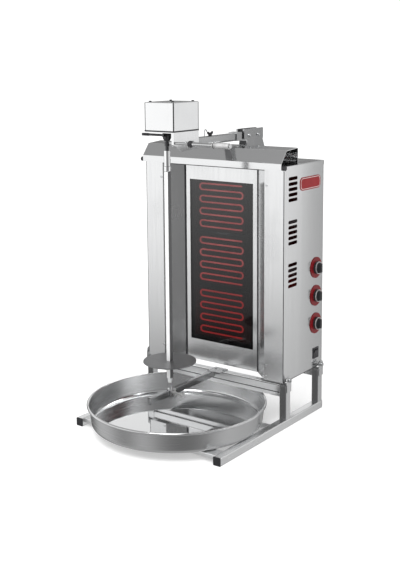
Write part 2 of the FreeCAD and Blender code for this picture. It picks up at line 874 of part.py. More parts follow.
def switch_frame():
    """Snap-in frame of the rocker switch."""
    y, z = switch_place()
    hy = switch_width / 2
    hz = switch_height / 2
    x0 = panel_x
    lip = block(x0, x0 + 2.5, y - hy, y + hy, z - hz, z + hz)
    barrel = block(x0 - 24, x0, y - hy + 3, y + hy - 3, z - hz + 3, z + hz - 3)
    well = block(x0 - 14, x0 + 5, y - hy + 5, y + hy - 5, z - hz + 5, z + hz - 5)
    tabs = [block(x0 - 33, x0 - 24, y + dy - 1, y + dy + 1, z - 4, z + 4) for dy in (-6, 0, 6)]
    pin = rod_y(3.0, y - hy + 4, y + hy - 4, x0 - 4, z)
    return lip.fuse([barrel] + tabs).removeSplitter().cut(well).fuse(pin).removeSplitter()


def rocker_button():
    """Rocker that tips on the frame's pin; stored with its lower end pressed in."""
    y, z = switch_place()
    hy = switch_width / 2 - 5 - sliding
    hz = switch_height / 2 - 5 - 1.2
    x0 = panel_x
    points = [V(x0 - 8, y - hy, z - hz + 3), V(x0 + 4.5, y - hy, z - hz), V(x0 + 2.2, y - hy, z),
              V(x0 + 4.5, y - hy, z + hz), V(x0 - 8, y - hy, z + hz - 3)]
    rocker = prism(points, V(0, 2 * hy, 0))
    rocker = rocker.cut(rod_y(3.0 + 2 * running, y - hy - 1, y + hy + 1, x0 - 4, z))
    rocker.rotate(V(x0 - 4, y, z), V(0, 1, 0), switch_rest_angle)
    return rocker


def terminal_block():
    """Mains terminal block on the cabinet floor."""
    x, y = gland_place()
    z0 = body_bottom_z + sheet
    x0 = x - terminal_shift - terminal_length
    top = z0 + terminal_height
    block_body = block(x0, x - terminal_shift, y - terminal_width / 2, y + terminal_width / 2, z0, top)
    pitch = terminal_length / 6
    cuts = [rod_z(6.0, z0 + 8, top + 1, x0 + pitch * (i + 0.5), y) for i in range(6)]
    return block_body.cut(cuts)


# ---- drip tray -------------------------------------------------------------------------------
def tray_wall_points(inset, turns=6):
    """Half section of the tray's outside, moved inwards by a distance: (r, z)."""
    top_r = tray_radius - tray_rim_dia + tray_sheet - inset
    foot_r = top_r - tray_flare
    corner = tray_corner - inset
    z0 = tray_bottom_z + inset
    points = [(0, z0)]
    for i in range(turns + 1):
        a = -math.pi / 2 + math.pi / 2 * i / turns
        points.append((foot_r - corner + corner * math.cos(a), z0 + corner + corner * math.sin(a)))
    points.append((top_r, tray_bottom_z + tray_height - tray_rim_dia / 2))
    return points


def drip_tray():
    """Round pan with a flared wall and a rolled rim."""
    outer = tray_wall_points(0)
    inner = tray_wall_points(tray_sheet)
    pan = revolve_z(outer + inner[::-1], 0, tray_y)
    rim_r = outer[-1][0] + tray_rim_dia / 2 - tray_sheet
    rim_z = tray_bottom_z + tray_height - tray_rim_dia / 2
    rim = Part.makeTorus(rim_r, tray_rim_dia / 2, V(0, tray_y, rim_z))
    return pan.fuse(rim)


# ---- lower arm -------------------------------------------------------------------------------
def lower_arm():
    """Flat tube from the front cross tube to below the spit, with a plate on the cross tube."""
    half = lower_arm_width / 2
    arm = square_tube_y(-half, half, spit_y - lower_arm_reach, cross_tube_y,
                        lower_arm_bottom_z, lower_arm_top_z, lower_arm_wall, lower_arm_corner)
    z = lower_arm_top_z
    plate = block(-half, arm_plate_width - half, cross_tube_y - 22, cross_tube_y + tube,
                  z, z + arm_plate_thickness)
    return arm.fuse(plate).removeSplitter()


def arm_plate_bolt_places():
    """Bolt centres of the arm's plate on the cross tube: (x, y)."""
    y = cross_tube_y + tube / 2
    return [(0.0, y), (arm_plate_width - 17.0, y)]


def arm_plate_bolts():
    """Low round heads on the arm's plate."""
    z = lower_arm_top_z + arm_plate_thickness
    return [rod_z(8.0, z, z + 2.5, x, y) for x, y in arm_plate_bolt_places()]


def pivot_carriage():
    """Sleeve that slides on the lower arm and carries the cup for the spit's foot."""
    inner_x = lower_arm_width / 2 + sliding
    outer_x = inner_x + carriage_wall
    low = lower_arm_bottom_z - sliding
    high = lower_arm_top_z + sliding
    y0 = spit_y - carriage_length / 2
    y1 = spit_y + carriage_length / 2
    sleeve = block(-outer_x, outer_x, y0, y1, low - carriage_wall, high + carriage_wall)
    sleeve = sleeve.cut(block(-inner_x, inner_x, y0 - 1, y1 + 1, low, high))
    cup = rod_z(cup_dia, high + carriage_wall, cup_top_z, 0, spit_y)
    bore = rod_z(pin_dia + 2 * running, cup_top_z - pin_engagement - 2, cup_top_z + 1, 0, spit_y)
    hole = rod_x(thumb_screw_dia + 2 * running, inner_x - 1, outer_x + 1, spit_y, thumb_screw_z())
    return sleeve.fuse(cup).removeSplitter().cut([bore, hole])


def thumb_screw_z():
    """Height of the carriage's clamp screw."""
    return (lower_arm_top_z + lower_arm_bottom_z) / 2 + 2.0


def thumb_screw():
    """Clamp screw with two wings and a ring head, on the carriage's right side."""
    z = thumb_screw_z()
    x0 = lower_arm_width / 2 + running
    x1 = x0 + thumb_screw_length
    screw = rod_x(thumb_screw_dia, x0, x1, spit_y, z)
    head = rod_x(thumb_head_dia, x1 - 9, x1, spit_y, z)
    wing_x = x0 + carriage_wall + 2
    hub = rod_x(10.0, wing_x, wing_x + 9, spit_y, z)
    wings = []
    for side in (-1, 1):
        points = [V(wing_x, spit_y - 1.5, z + side * 3), V(wing_x + 6, spit_y - 1.5, z + side * 3),
                  V(wing_x + 12, spit_y - 1.5, z + side * 13), V(wing_x + 7, spit_y - 1.5, z + side * 13)]
        wings.append(prism(points, V(0, 3, 0)))
    return screw.fuse([head, hub] + wings).removeSplitter()


# ---- spit ------------------------------------------------------------------------------------
def skewer_bar():
    """Square bar with a turned spigot at the top and a turned pin at the foot."""
    h = bar_side / 2
    bar = block(-h, h, spit_y - h, spit_y + h, bar_bottom_z, bar_top_z)
    neck_bottom = cup_top_z + 2.0
    neck = rod_z(neck_dia, neck_bottom, bar_bottom_z, 0, spit_y)
    pin = rod_z(pin_dia, pin_bottom_z, neck_bottom, 0, spit_y)
    spigot = rod_z(spigot_dia, bar_top_z, chuck_bottom_z + spigot_length, 0, spit_y)
    return bar.fuse([neck, pin, spigot]).removeSplitter()


def skewer_collar():
    """Ring that seats the bar under the chuck."""
    ring = rod_z(collar_dia, bar_top_z, chuck_bottom_z, 0, spit_y)
    ring = ring.cut(rod_z(spigot_dia, bar_top_z - 1, chuck_bottom_z + 1, 0, spit_y))
    rims = [e for e in ring.Edges if abs(e.BoundBox.XLength - collar_dia) < 0.01]
    return ring.makeChamfer(1.5, rims)


def chuck_sleeve():
    """Sleeve that joins the spigot to the drive shaft and slides up on the shaft."""
    sleeve = rod_z(chuck_dia, chuck_bottom_z, chuck_top_z, 0, spit_y)
    low = rod_z(spigot_dia, chuck_bottom_z - 1, chuck_bottom_z + spigot_length, 0, spit_y)
    high = rod_z(shaft_dia + 2 * running, chuck_bottom_z + spigot_length, chuck_top_z + 1, 0, spit_y)
    return sleeve.cut([low, high])


def meat_disc():
    """Round plate with a square-bored hub that slides on the bar."""
    plate = rod_z(disc_dia, disc_z, disc_z + disc_thickness, 0, spit_y)
    hub = rod_z(disc_hub_dia, disc_z - disc_hub_height, disc_z, 0, spit_y)
    h = bar_side / 2 + sliding
    bore = block(-h, h, spit_y - h, spit_y + h, disc_z - 20, disc_z + 20)
    return plate.fuse(hub).removeSplitter().cut(bore)


# ---- drive head ------------------------------------------------------------------------------
def head_base():
    """Base plate of the drive head with its folded right cheek."""
    x0 = head_side_shift - head_width / 2
    x1 = head_side_shift + head_width / 2
    y0 = head_y - head_depth / 2
    y1 = head_y + head_depth / 2
    plate = block(x0, x1, y0, y1, base_z, head_bottom_z)
    points = [V(cheek_x, y0, head_bottom_z), V(cheek_x, y0, base_z - cheek_front_depth),
              V(cheek_x, y0 + cheek_run, base_z - cheek_depth), V(cheek_x, y1, base_z - cheek_depth + 4),
              V(cheek_x, y1, head_bottom_z)]
    base = plate.fuse(prism(points, V(cheek_thickness, 0, 0))).removeSplitter()
    base = base.cut(rod_z(shaft_dia + 2, base_z - 1, head_bottom_z + 1, 0, spit_y))
    return base.cut(rod_x(handle_rod_dia, cheek_x - 1, x1 + 1, spit_y + handle_y, handle_z))


def bearing_housing():
    """Round housing of the two shaft bearings under the base plate, with the lever's headed stud."""
    r = housing_dia / 2
    nose_z = housing_bottom_z - housing_nose_height
    body = revolve_z([(0, nose_z), (housing_nose_dia / 2, nose_z), (r, housing_bottom_z),
                      (r, base_z), (0, base_z)], 0, spit_y)
    y = spit_y + lever_y
    stud = rod_y(lever_pin_dia, y - 6, spit_y, lever_pivot_x, lever_z)
    stud = stud.fuse(rod_y(lever_pin_dia + 4, y - 7, y - 5, lever_pivot_x, lever_z))
    seat = rod_z(bearing_dia, housing_bottom_z, base_z + 1, 0, spit_y)
    through = rod_z(shaft_dia + 4, nose_z - 1, housing_bottom_z + 1, 0, spit_y)
    return body.fuse(stud).removeSplitter().cut([seat, through])


def shaft_bearings():
    """Two ball bearings drawn as plain rings."""
    rings = []
    for z0 in (housing_bottom_z, base_z - bearing_width):
        ring = rod_z(bearing_dia, z0, z0 + bearing_width, 0, spit_y)
        rings.append(ring.cut(rod_z(shaft_dia + 2 * running, z0 - 1, z0 + bearing_width + 1, 0, spit_y)))
    return group(rings)


def shaft_bottom_z():
    """Lower end of the drive shaft, clear of the spigot when the chuck is raised."""
    return chuck_bottom_z + spigot_length + chuck_lift + 1.5


def drive_shaft():
    """Output shaft from the gear down into the chuck, with a stop collar above the raised chuck."""
    hub_z = chuck_top_z + chuck_lift + 1.5
    hub = rod_z(shaft_hub_dia, hub_z, hub_z + shaft_hub_height, 0, spit_y)
    return rod_z(shaft_dia, shaft_bottom_z(), gear_z + gear_width, 0, spit_y).fuse(hub).removeSplitter()


def involute_gear(teeth, bore, x, y, z0, turn):
    """Spur gear whose teeth are thinned by half of the backlash on each flank."""
    pressure = math.radians(20)
    pitch_r = gear_module * teeth / 2
    base_r = pitch_r * math.cos(pressure)
    tip_r = pitch_r + gear_module * 0.9
    root_r = pitch_r - gear_module * 1.2
    half_pitch_angle = math.pi / (2 * teeth) - gear_backlash / 2 / pitch_r
    involute_at_pitch = math.tan(pressure) - pressure
    points = []
    for i in range(teeth):
        centre = turn + 2 * math.pi * i / teeth
        flank = []
        for step in range(5):
            r = max(base_r, root_r) + (tip_r - max(base_r, root_r)) * step / 4
            a = math.acos(min(1.0, base_r / r))
            flank.append((r, half_pitch_angle + involute_at_pitch - (math.tan(a) - a)))
        root_half = half_pitch_angle + involute_at_pitch
        left = [(root_r, root_half)] + flank
        for r, a in left:
            points.append(V(x + r * math.cos(centre - a), y + r * math.sin(centre - a), z0))
        for r, a in left[::-1]:
            points.append(V(x + r * math.cos(centre + a), y + r * math.sin(centre + a), z0))
    gear = prism(points, V(0, 0, gear_width))
    return gear.cut(rod_z(bore, z0 - 1, z0 + gear_width + 1, x, y))


def output_gear():
    """Gear on the drive shaft; a tooth gap faces the pinion."""
    turn = math.pi / 2 + math.pi / gear_teeth
    return involute_gear(gear_teeth, shaft_dia, 0, spit_y, gear_z, turn)


def motor_pinion():
    """Pinion cut on the motor's shaft; a tooth faces the output gear."""
    pinion = involute_gear(pinion_teeth, motor_shaft_dia, 0, motor_y, gear_z, -math.pi / 2)
    shaft = rod_z(motor_shaft_dia, gear_z, motor_bottom_z + 12, 0, motor_y)
    return pinion.fuse(shaft).removeSplitter()


def gear_motor():
    """Motor on a square flange with four feet on the base plate, bored for its shaft."""
    h = motor_flange / 2
    flange = block(-h, h, motor_y - h, motor_y + h, motor_bottom_z, motor_bottom_z + motor_flange_thickness)
    can = rod_z(motor_dia, motor_bottom_z, motor_bottom_z + motor_height, 0, motor_y)
    bore = rod_z(motor_shaft_dia + 2 * running, motor_bottom_z - 1, motor_bottom_z + 13, 0, motor_y)
    d = motor_flange / 2 - 4
    feet = [rod_z(7.0, head_bottom_z, motor_bottom_z, sx * d, motor_y + sy * d)
            for sx in (-1, 1) for sy in (-1, 1)]
    return flange.fuse([can] + feet).removeSplitter().cut(bore)


def head_cover():
    """Square sheet cover over the motor, open below."""
    x0 = head_side_shift - head_width / 2
    x1 = head_side_shift + head_width / 2
    y0 = head_y - head_depth / 2
    y1 = head_y + head_depth / 2
    top = head_bottom_z + head_height
    outer = block(x0, x1, y0, y1, head_bottom_z, top)
    outer = outer.makeFillet(fold_edge, cover_edges(outer))
    inner = block(x0 + sheet, x1 - sheet, y0 + sheet, y1 - sheet, head_bottom_z - 1, top - sheet)
    return outer.cut(inner)


def head_screws():
    """Four black screws on the cover's top."""
    top = head_bottom_z + head_height
    d = head_width / 2 - 12
    e = head_depth / 2 - 12
    return group([rod_z(8.0, top, top + 3.0, head_side_shift + sx * d, head_y + sy * e)
                  for sx in (-1, 1) for sy in (-1, 1)])


# ---- upper arm -------------------------------------------------------------------------------
def upper_arm():
    """Rectangular tube from the head's cheek back over the cabinet."""
    h = arm_width / 2
    arm = square_tube_y(arm_x - h, arm_x + h, arm_front_y, arm_rear_y, arm_bottom_z, arm_top_z,
                        arm_wall, arm_corner)
    hole = rod_z(lock_screw_dia + 2 * running, arm_top_z - 5, arm_top_z + 1, arm_x, spit_y + wing_knob_y)
    return arm.cut(hole)


def arm_clamp():
    """Collar with a clamp lip around the arm's back end."""
    h = arm_width / 2
    w = clamp_wall
    y0 = clamp_rear_y - collar_length
    outer = block(arm_x - h - w, arm_x + h + w, y0, clamp_rear_y, arm_bottom_z - w, arm_top_z + w)
    seat = block(arm_x - h, arm_x + h, y0 - 1, arm_rear_y, arm_bottom_z, arm_top_z)
    ix = arm_width / 2 - arm_wall
    way = block(arm_x - ix, arm_x + ix, y0, clamp_rear_y + 1, arm_bottom_z + arm_wall, arm_top_z - arm_wall)
    return outer.cut([seat, way])


def slide_bar():
    """Fixed bar inside the arm, held in the rear bracket."""
    hx = arm_width / 2 - arm_wall - sliding
    gap = arm_wall + sliding
    bar = block(arm_x - hx, arm_x + hx, clamp_rear_y - slide_bar_inside, bracket_rear_y - 4,
                arm_bottom_z + gap, arm_top_z - gap)
    return bar.cut([rod_x(bracket_bolt_dia, arm_x - 30, arm_x + 30, y, z) for y, z in bracket_bolt_places()])


def bracket_bolt_places():
    """Bolt centres through the rear bracket: (y, z)."""
    y = bracket_front_y + (bracket_length - bracket_bolt_pitch) / 2
    z = (arm_top_z + arm_bottom_z) / 2
    return [(y, z), (y + bracket_bolt_pitch, z)]


def rear_bracket():
    """Upright channel on the pedestal that holds the slide bar between two cheeks."""
    hx = arm_width / 2 - arm_wall - sliding
    w = bracket_wall + arm_wall + sliding
    floor_top = arm_bottom_z + arm_wall + sliding
    outer = block(arm_x - hx - w, arm_x + hx + w, bracket_front_y, bracket_rear_y,
                  bracket_floor_z, bracket_floor_z + bracket_height)
    way = block(arm_x - hx, arm_x + hx, bracket_front_y - 1, bracket_rear_y + 1,
                floor_top, bracket_floor_z + bracket_height + 1)
    bracket = outer.cut(way)
    groove = block(arm_x + hx + w - 1.2, arm_x + hx + w + 1, bracket_bolt_places()[0][0],
                   bracket_bolt_places()[1][0], bracket_bolt_places()[0][1] - 2,
                   bracket_bolt_places()[0][1] + 2)
    return bracket.cut([groove] + [rod_x(bracket_bolt_dia, arm_x - 40, arm_x + 40, y, z)
                                   for y, z in bracket_bolt_places()])


def bracket_bolts():
    """Two through bolts with domed heads and nuts."""
    hx = arm_width / 2 + bracket_wall
    bolts = []
    for y, z in bracket_bolt_places():
        shank = rod_x(bracket_bolt_dia, arm_x - hx, arm_x + hx, y, z)
        head = dome_head(arm_x + hx, y, z, bolt_head_dia, bolt_head_height)
        nut = rod_x(nut_dia, arm_x - hx - 6, arm_x - hx, y, z)
        bolts.append(shank.fuse([head, nut]).removeSplitter())
    return group(bolts)


def pedestal():
    """Flared upright on the lid with a screwed foot."""
    y_back = body_rear_y - pedestal_set_in
    y_front = y_back - pedestal_bottom_run
    top_back = y_front + pedestal_top_run
    hx = arm_width / 2 + bracket_wall
    z0 = body_top_z
    z1 = bracket_floor_z
    points = [V(arm_x - hx, y_front, z0), V(arm_x - hx, y_front, z1),
              V(arm_x - hx, top_back, z1), V(arm_x - hx, y_back, z0)]
    body = prism(points, V(2 * hx, 0, 0))
    w = pedestal_wall
    hollow = block(arm_x - hx + w, arm_x + hx - w, y_front - 1, y_back + 1, z0 - 1, z1 - w)
    foot = block(arm_x - hx - pedestal_foot, arm_x + hx + pedestal_foot, y_front, y_back, z0, z0 + w)
    return body.cut(hollow).fuse(foot).removeSplitter()


def pedestal_screws():
    """Four screws that hold the pedestal's foot on the lid."""
    hx = arm_width / 2 + bracket_wall + pedestal_foot / 2
    z = body_top_z + pedestal_wall
    y_back = body_rear_y - pedestal_set_in
    ys = (y_back - pedestal_bottom_run + 14, y_back - 14)
    return [rod_z(9.0, z, z + 4.0, arm_x + sx * hx, y) for sx in (-1, 1) for y in ys]


def cabinet_screws():
    """Screws of the flanges, the pedestal's foot and the lower arm's plate."""
    return group(flange_screws() + pedestal_screws() + arm_plate_bolts())


def lock_knob():
    """Black wing knob whose screw bears on the slide bar."""
    y = spit_y + wing_knob_y
    low = arm_top_z - arm_wall - sliding + running
    screw = rod_z(lock_screw_dia, low, arm_top_z + 3, arm_x, y)
    hub = rod_z(12.0, arm_top_z + 1.5, arm_top_z + 10, arm_x, y)
    wings = []
    for side in (-1, 1):
        outline = [(3, 3), (12, 7), (13, 14), (9, 13), (3, 9)]
        points = [V(arm_x - 2.5, y + side * reach, arm_top_z + rise) for reach, rise in outline]
        wings.append(prism(points, V(5, 0, 0)))
    return screw.fuse([hub] + wings).removeSplitter()


def cable_hook():
    """Bent wire hook on the arm's top."""
    y = spit_y + hook_y
    r = hook_radius
    stem_top = arm_top_z + hook_stem
    edges = [Part.makeLine(V(arm_x, y, arm_top_z), V(arm_x, y, stem_top)),
             Part.Arc(V(arm_x, y, stem_top), V(arm_x, y + r * (1 - math.cos(math.pi / 4)) * 2,
                                                stem_top + r), V(arm_x, y + 2 * r, stem_top)).toShape()]
    ring = Part.Wire(Part.makeCircle(1.5, V(arm_x, y, arm_top_z), V(0, 0, 1)))
    return Part.Wire(edges).makePipeShell([ring], True, False)


def arm_bolts():
    """Two bolts that fix the arm to the head's cheek."""
    z = (arm_top_z + arm_bottom_z) / 2
    face = cheek_x + cheek_thickness
    return group([dome_head(face, spit_y + arm_bolt_y + dy, z, 10.0, 4.0) for dy in (0, arm_bolt_pitch)])


# ---- handle and lever ------------------------------------------------------------------------
def thick_rod_x():
    """Where the handle rod's thick part begins, behind the ball."""
    return ball_x + ball_dia / 2 - ball_flat


def handle_rod():
    """Turned rod through the cheek: thin, then thick up to the grip, with a cap end."""
    y = spit_y + handle_y
    grip_end = grip_x + grip_length
    rod = rod_x(handle_rod_dia, cheek_x - 12, grip_end + 1, y, handle_z)
    nut = rod_x(14.0, cheek_x - 6, cheek_x, y, handle_z)
    thick = rod_x(handle_tube_dia, thick_rod_x(), grip_x - 0.5, y, handle_z)
    end = rod_x(12.0, grip_end + 0.5, grip_end + handle_nut_length, y, handle_z)
    return rod.fuse([nut, thick, end]).removeSplitter()


def ball_knob():
    """Black ball on the handle rod, flattened where it meets the rod's thick part."""
    y = spit_y + handle_y
    ball = Part.makeSphere(ball_dia / 2, V(ball_x, y, handle_z), V(1, 0, 0))
    ball = ball.common(rod_x(ball_dia + 2, ball_x - ball_dia, thick_rod_x(), y, handle_z))
    return ball.cut(rod_x(handle_rod_dia, ball_x - ball_dia, ball_x + ball_dia, y, handle_z))


def handle_grip():
    """Chromed grip that turns freely on the rod, with a turned groove."""
    y = spit_y + handle_y
    x1 = grip_x + grip_length
    grip = rod_x(grip_dia, grip_x, x1, y, handle_z)
    groove = rod_x(grip_dia + 2, grip_x + 8, grip_x + 11, y, handle_z)
    groove = groove.cut(rod_x(grip_dia - 2.5, grip_x, x1, y, handle_z))
    return grip.cut([groove, rod_x(handle_rod_dia + 2 * running, grip_x - 1, x1 + 1, y, handle_z)])


def lift_lever():
    """Rod with an eye at its right end; it lifts the chuck when pressed down."""
    y = spit_y + lever_y
    rod = rod_x(lever_dia, lever_pivot_x - lever_length + lever_tip_length, lever_pivot_x, y, lever_z)
    eye = rod_y(lever_eye_dia, y - 4, y + 4, lever_pivot_x, lever_z)
    bore = rod_y(lever_pin_dia + 2 * running, y - 9, y + 9, lever_pivot_x, lever_z)
    return rod.fuse(eye).removeSplitter().cut(bore)


def lever_tip():
    """Black sleeve on the lever's free end."""
    y = spit_y + lever_y
    x0 = lever_pivot_x - lever_length
    return rod_x(lever_tip_dia, x0, x0 + lever_tip_length, y, lever_z)


NODES = {
    "floor_rails": floor_rails,
    "legs": legs,
    "cross_members": cross_members,
    "rail_end_caps": rail_end_caps,
    "leg_ears": leg_ears,
    "ear_bolts": ear_bolts,
    "front_shell": front_shell,
    "right_side_panel": lambda: side_panel(False),
    "left_side_panel": lambda: mirrored(side_panel(True)),
    "rear_panel": rear_panel,
    "bottom_panel": bottom_panel,
    "top_lid": top_lid,
    "cabinet_screws": cabinet_screws,
    "cable_gland": cable_gland,
    "hood": hood,
    "hood_thumb_screws": hood_thumb_screws,
    "glass_pane": glass_pane,
    "glass_retainer": glass_retainer,
    "radiant_heaters": radiant_heaters,
    "heater_boards": heater_boards,
    "knob_bezels": knob_bezels,
    "lower_knob": lambda: control_knob(0),
    "middle_knob": lambda: control_knob(1),
    "upper_knob": lambda: control_knob(2),
    "regulators": regulators,
    "switch_frame": switch_frame,
    "rocker_button": rocker_button,
    "terminal_block": terminal_block,
    "drip_tray": drip_tray,
    "lower_arm": lower_arm,
    "pivot_carriage": pivot_carriage,
    "thumb_screw": thumb_screw,
    "skewer_bar": skewer_bar,
    "skewer_collar": skewer_collar,
    "chuck_sleeve": chuck_sleeve,
    "meat_disc": meat_disc,
    "head_base": head_base,
    "bearing_housing": bearing_housing,
    "shaft_bearings": shaft_bearings,
    "drive_shaft": drive_shaft,
    "output_gear": output_gear,
    "motor_pinion": motor_pinion,
    "gear_motor": gear_motor,
    "head_cover": head_cover,
    "head_screws": head_screws,
    "handle_rod": handle_rod,
    "ball_knob": ball_knob,
    "handle_grip": handle_grip,
    "lift_lever": lift_lever,
    "lever_tip": lever_tip,
    "arm_bolts": arm_bolts,
    "upper_arm": upper_arm,
    "arm_clamp": arm_clamp,
    "lock_knob": lock_knob,
    "cable_hook": cable_hook,
    "slide_bar": slide_bar,
    "rear_bracket": rear_bracket,
    "bracket_bolts": bracket_bolts,
    "pedestal": pedestal,
}


if __name__ == "__main__":
    os.makedirs("parts", exist_ok=True)
    for name, make in NODES.items():
        make().exportStep("parts/" + name + ".step")
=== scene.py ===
"""Electric skewer grill: looks of every part, small fittings, studio and camera.

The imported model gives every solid's place. This script dresses each one in a procedural
finish, adds the trim that isn't in the solids, and sets up a plain studio. Metres, +Z up.
"""

import logging
import math
from dataclasses import dataclass
from enum import Enum
from typing import Callable

import bmesh
import bpy
from mathutils import Matrix, Vector

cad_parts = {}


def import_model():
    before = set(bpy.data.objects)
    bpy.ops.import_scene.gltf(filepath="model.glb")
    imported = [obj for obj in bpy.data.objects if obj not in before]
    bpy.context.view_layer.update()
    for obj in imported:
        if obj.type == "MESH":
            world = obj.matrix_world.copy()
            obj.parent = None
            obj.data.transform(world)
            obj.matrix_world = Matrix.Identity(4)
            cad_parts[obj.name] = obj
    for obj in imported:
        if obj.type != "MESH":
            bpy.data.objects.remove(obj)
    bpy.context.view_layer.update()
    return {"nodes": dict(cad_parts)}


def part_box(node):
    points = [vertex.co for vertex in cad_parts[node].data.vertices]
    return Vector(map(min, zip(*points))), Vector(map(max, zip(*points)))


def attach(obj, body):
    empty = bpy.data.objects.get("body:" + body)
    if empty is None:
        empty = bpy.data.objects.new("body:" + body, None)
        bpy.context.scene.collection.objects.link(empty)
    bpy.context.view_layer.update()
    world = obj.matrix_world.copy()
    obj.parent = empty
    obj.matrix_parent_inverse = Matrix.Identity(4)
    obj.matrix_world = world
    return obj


log = logging.getLogger("skewer_grill")

Pair = tuple[float, float]
Triple = tuple[float, float, float]
Colour = tuple[float, float, float]
Material = bpy.types.Material
Node = bpy.types.Node
Solid = bpy.types.Object
Socket = bpy.types.NodeSocket
Value = Socket | float | Triple
Inputs = dict[int | str, Value]

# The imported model's objects by name, once it is loaded.
PARTS: dict[str, Solid] = {}
# Each knob and the body that it turns with.
KNOBS = {"lower_knob": "low_knob", "middle_knob": "mid_knob", "upper_knob": "high_knob"}

LINE_EDGE = 0.0003  # softening of a thin line's edges
FACING = 0.9  # least share of a face's normal along the axis that it faces
QUARTER_TURN = math.radians(90)
SMOOTH_BELOW = math.radians(40)
ROUND_SIDES = 48
CORNER_SEGMENTS = 8


class Grain(Enum):
    """Direction in which metal was brushed, as noise features per metre on X, Y and Z."""

    ALONG_X = (14.0, 900.0, 900.0)
    ALONG_Y = (900.0, 14.0, 900.0)
    ALONG_Z = (900.0, 900.0, 14.0)


class Band(Enum):
    """Stretch of a noise's values over which a tone or a gloss changes."""

    MOST = (0.3, 0.7)
    MIDDLE = (0.35, 0.65)
    BROAD = (0.35, 0.7)
    UPPER = (0.4, 0.7)
    UPPER_SOFT = (0.4, 0.75)
    UPPER_SOFTER = (0.4, 0.8)
    HIGH = (0.45, 0.7)
    PEAKS = (0.5, 0.75)
    PEAKS_SOFT = (0.5, 0.8)


class Slot(Enum):
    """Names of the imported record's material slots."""

    TUBE = "tube_steel"
    BRIGHT = "bright_steel"
    ZINC = "zinc_steel"
    BLACK = "black_plastic"
    RED = "red_plastic"


def shade(colour: Colour, share: float) -> Colour:
    """Returns a colour with only a share of its brightness."""
    return tuple(c * share for c in colour)


# Node trees


class NodeSheet:
    """Shorthand for drawing up the node tree of a material or a surround."""

    def __init__(self, owner: Material | bpy.types.World) -> None:
        """Empties the owner's node tree.

        Args:
            owner: Material or world that the nodes belong to.
        """
        owner.use_nodes = True
        self.tree = owner.node_tree
        self.tree.nodes.clear()

    def feed(self, value: Value, socket: Socket) -> None:
        """Links one socket to another, or sets its own value.

        Args:
            value: Socket, number, colour or vector.
            socket: Socket that takes it.
        """
        if isinstance(value, bpy.types.NodeSocket):
            self.tree.links.new(value, socket)
        else:
            socket.default_value = (*value, 1.0) if socket.type == "RGBA" else value

    def node(self, kind: str, inputs: Inputs | None = None, **settings: object) -> Node:
        """Adds a node.

        Args:
            kind: Blender's node type.
            inputs: Values or links of its inputs.
            **settings: Its own properties.

        Returns:
            The new node.
        """
        made = self.tree.nodes.new(kind)
        for key, value in settings.items():
            setattr(made, key, value)
        for key, value in (inputs or {}).items():
            self.feed(value, made.inputs[key])
        return made

    def step(self, kind: str, inputs: Inputs, **settings: object) -> Socket:
        """Adds a node and returns its first output."""
        return self.node(kind, inputs, **settings).outputs[0]

    def part(self, vector: Socket, axis: int) -> Socket:
        """Returns one coordinate of a vector."""
        return self.node("ShaderNodeSeparateXYZ", {0: vector}).outputs[axis]

    def maths(self, operation: str, first: Socket | float, second: Socket | float = 0.0) -> Socket:
        """Returns the result of one arithmetic step."""
        return self.step("ShaderNodeMath", {0: first, 1: second}, operation=operation)

    def mix(self, share: Socket, first: Socket, second: Socket) -> Socket:
        """Mixes two shaders by the second one's share."""
        return self.step("ShaderNodeMixShader", {0: share, 1: first, 2: second})

    def span(self, source: Socket, band: Band | Pair, to_low: float = 0.0, to_high: float = 1.0,
             interpolation: str = "LINEAR") -> Socket:
        """Turns one range of values into another, held at its ends.

        Args:
            source: Value to change.
            band: Start and end of its range.
            to_low: Result at the start.
            to_high: Result at the end.
            interpolation: Blender's name for the way between them.

        Returns:
            The new value.
        """
        low, high = band.value if isinstance(band, Band) else band
        return self.step("ShaderNodeMapRange",
                         {"Value": source, "From Min": low, "From Max": high, "To Min": to_low,
                          "To Max": to_high}, interpolation_type=interpolation)

    def vary(self, noise: Socket, middle: float, reach: float) -> Socket:
        """Lets a value wander with a noise, as far as its reach to each side."""
        return self.span(noise, Band.MOST, middle - reach, middle + reach)


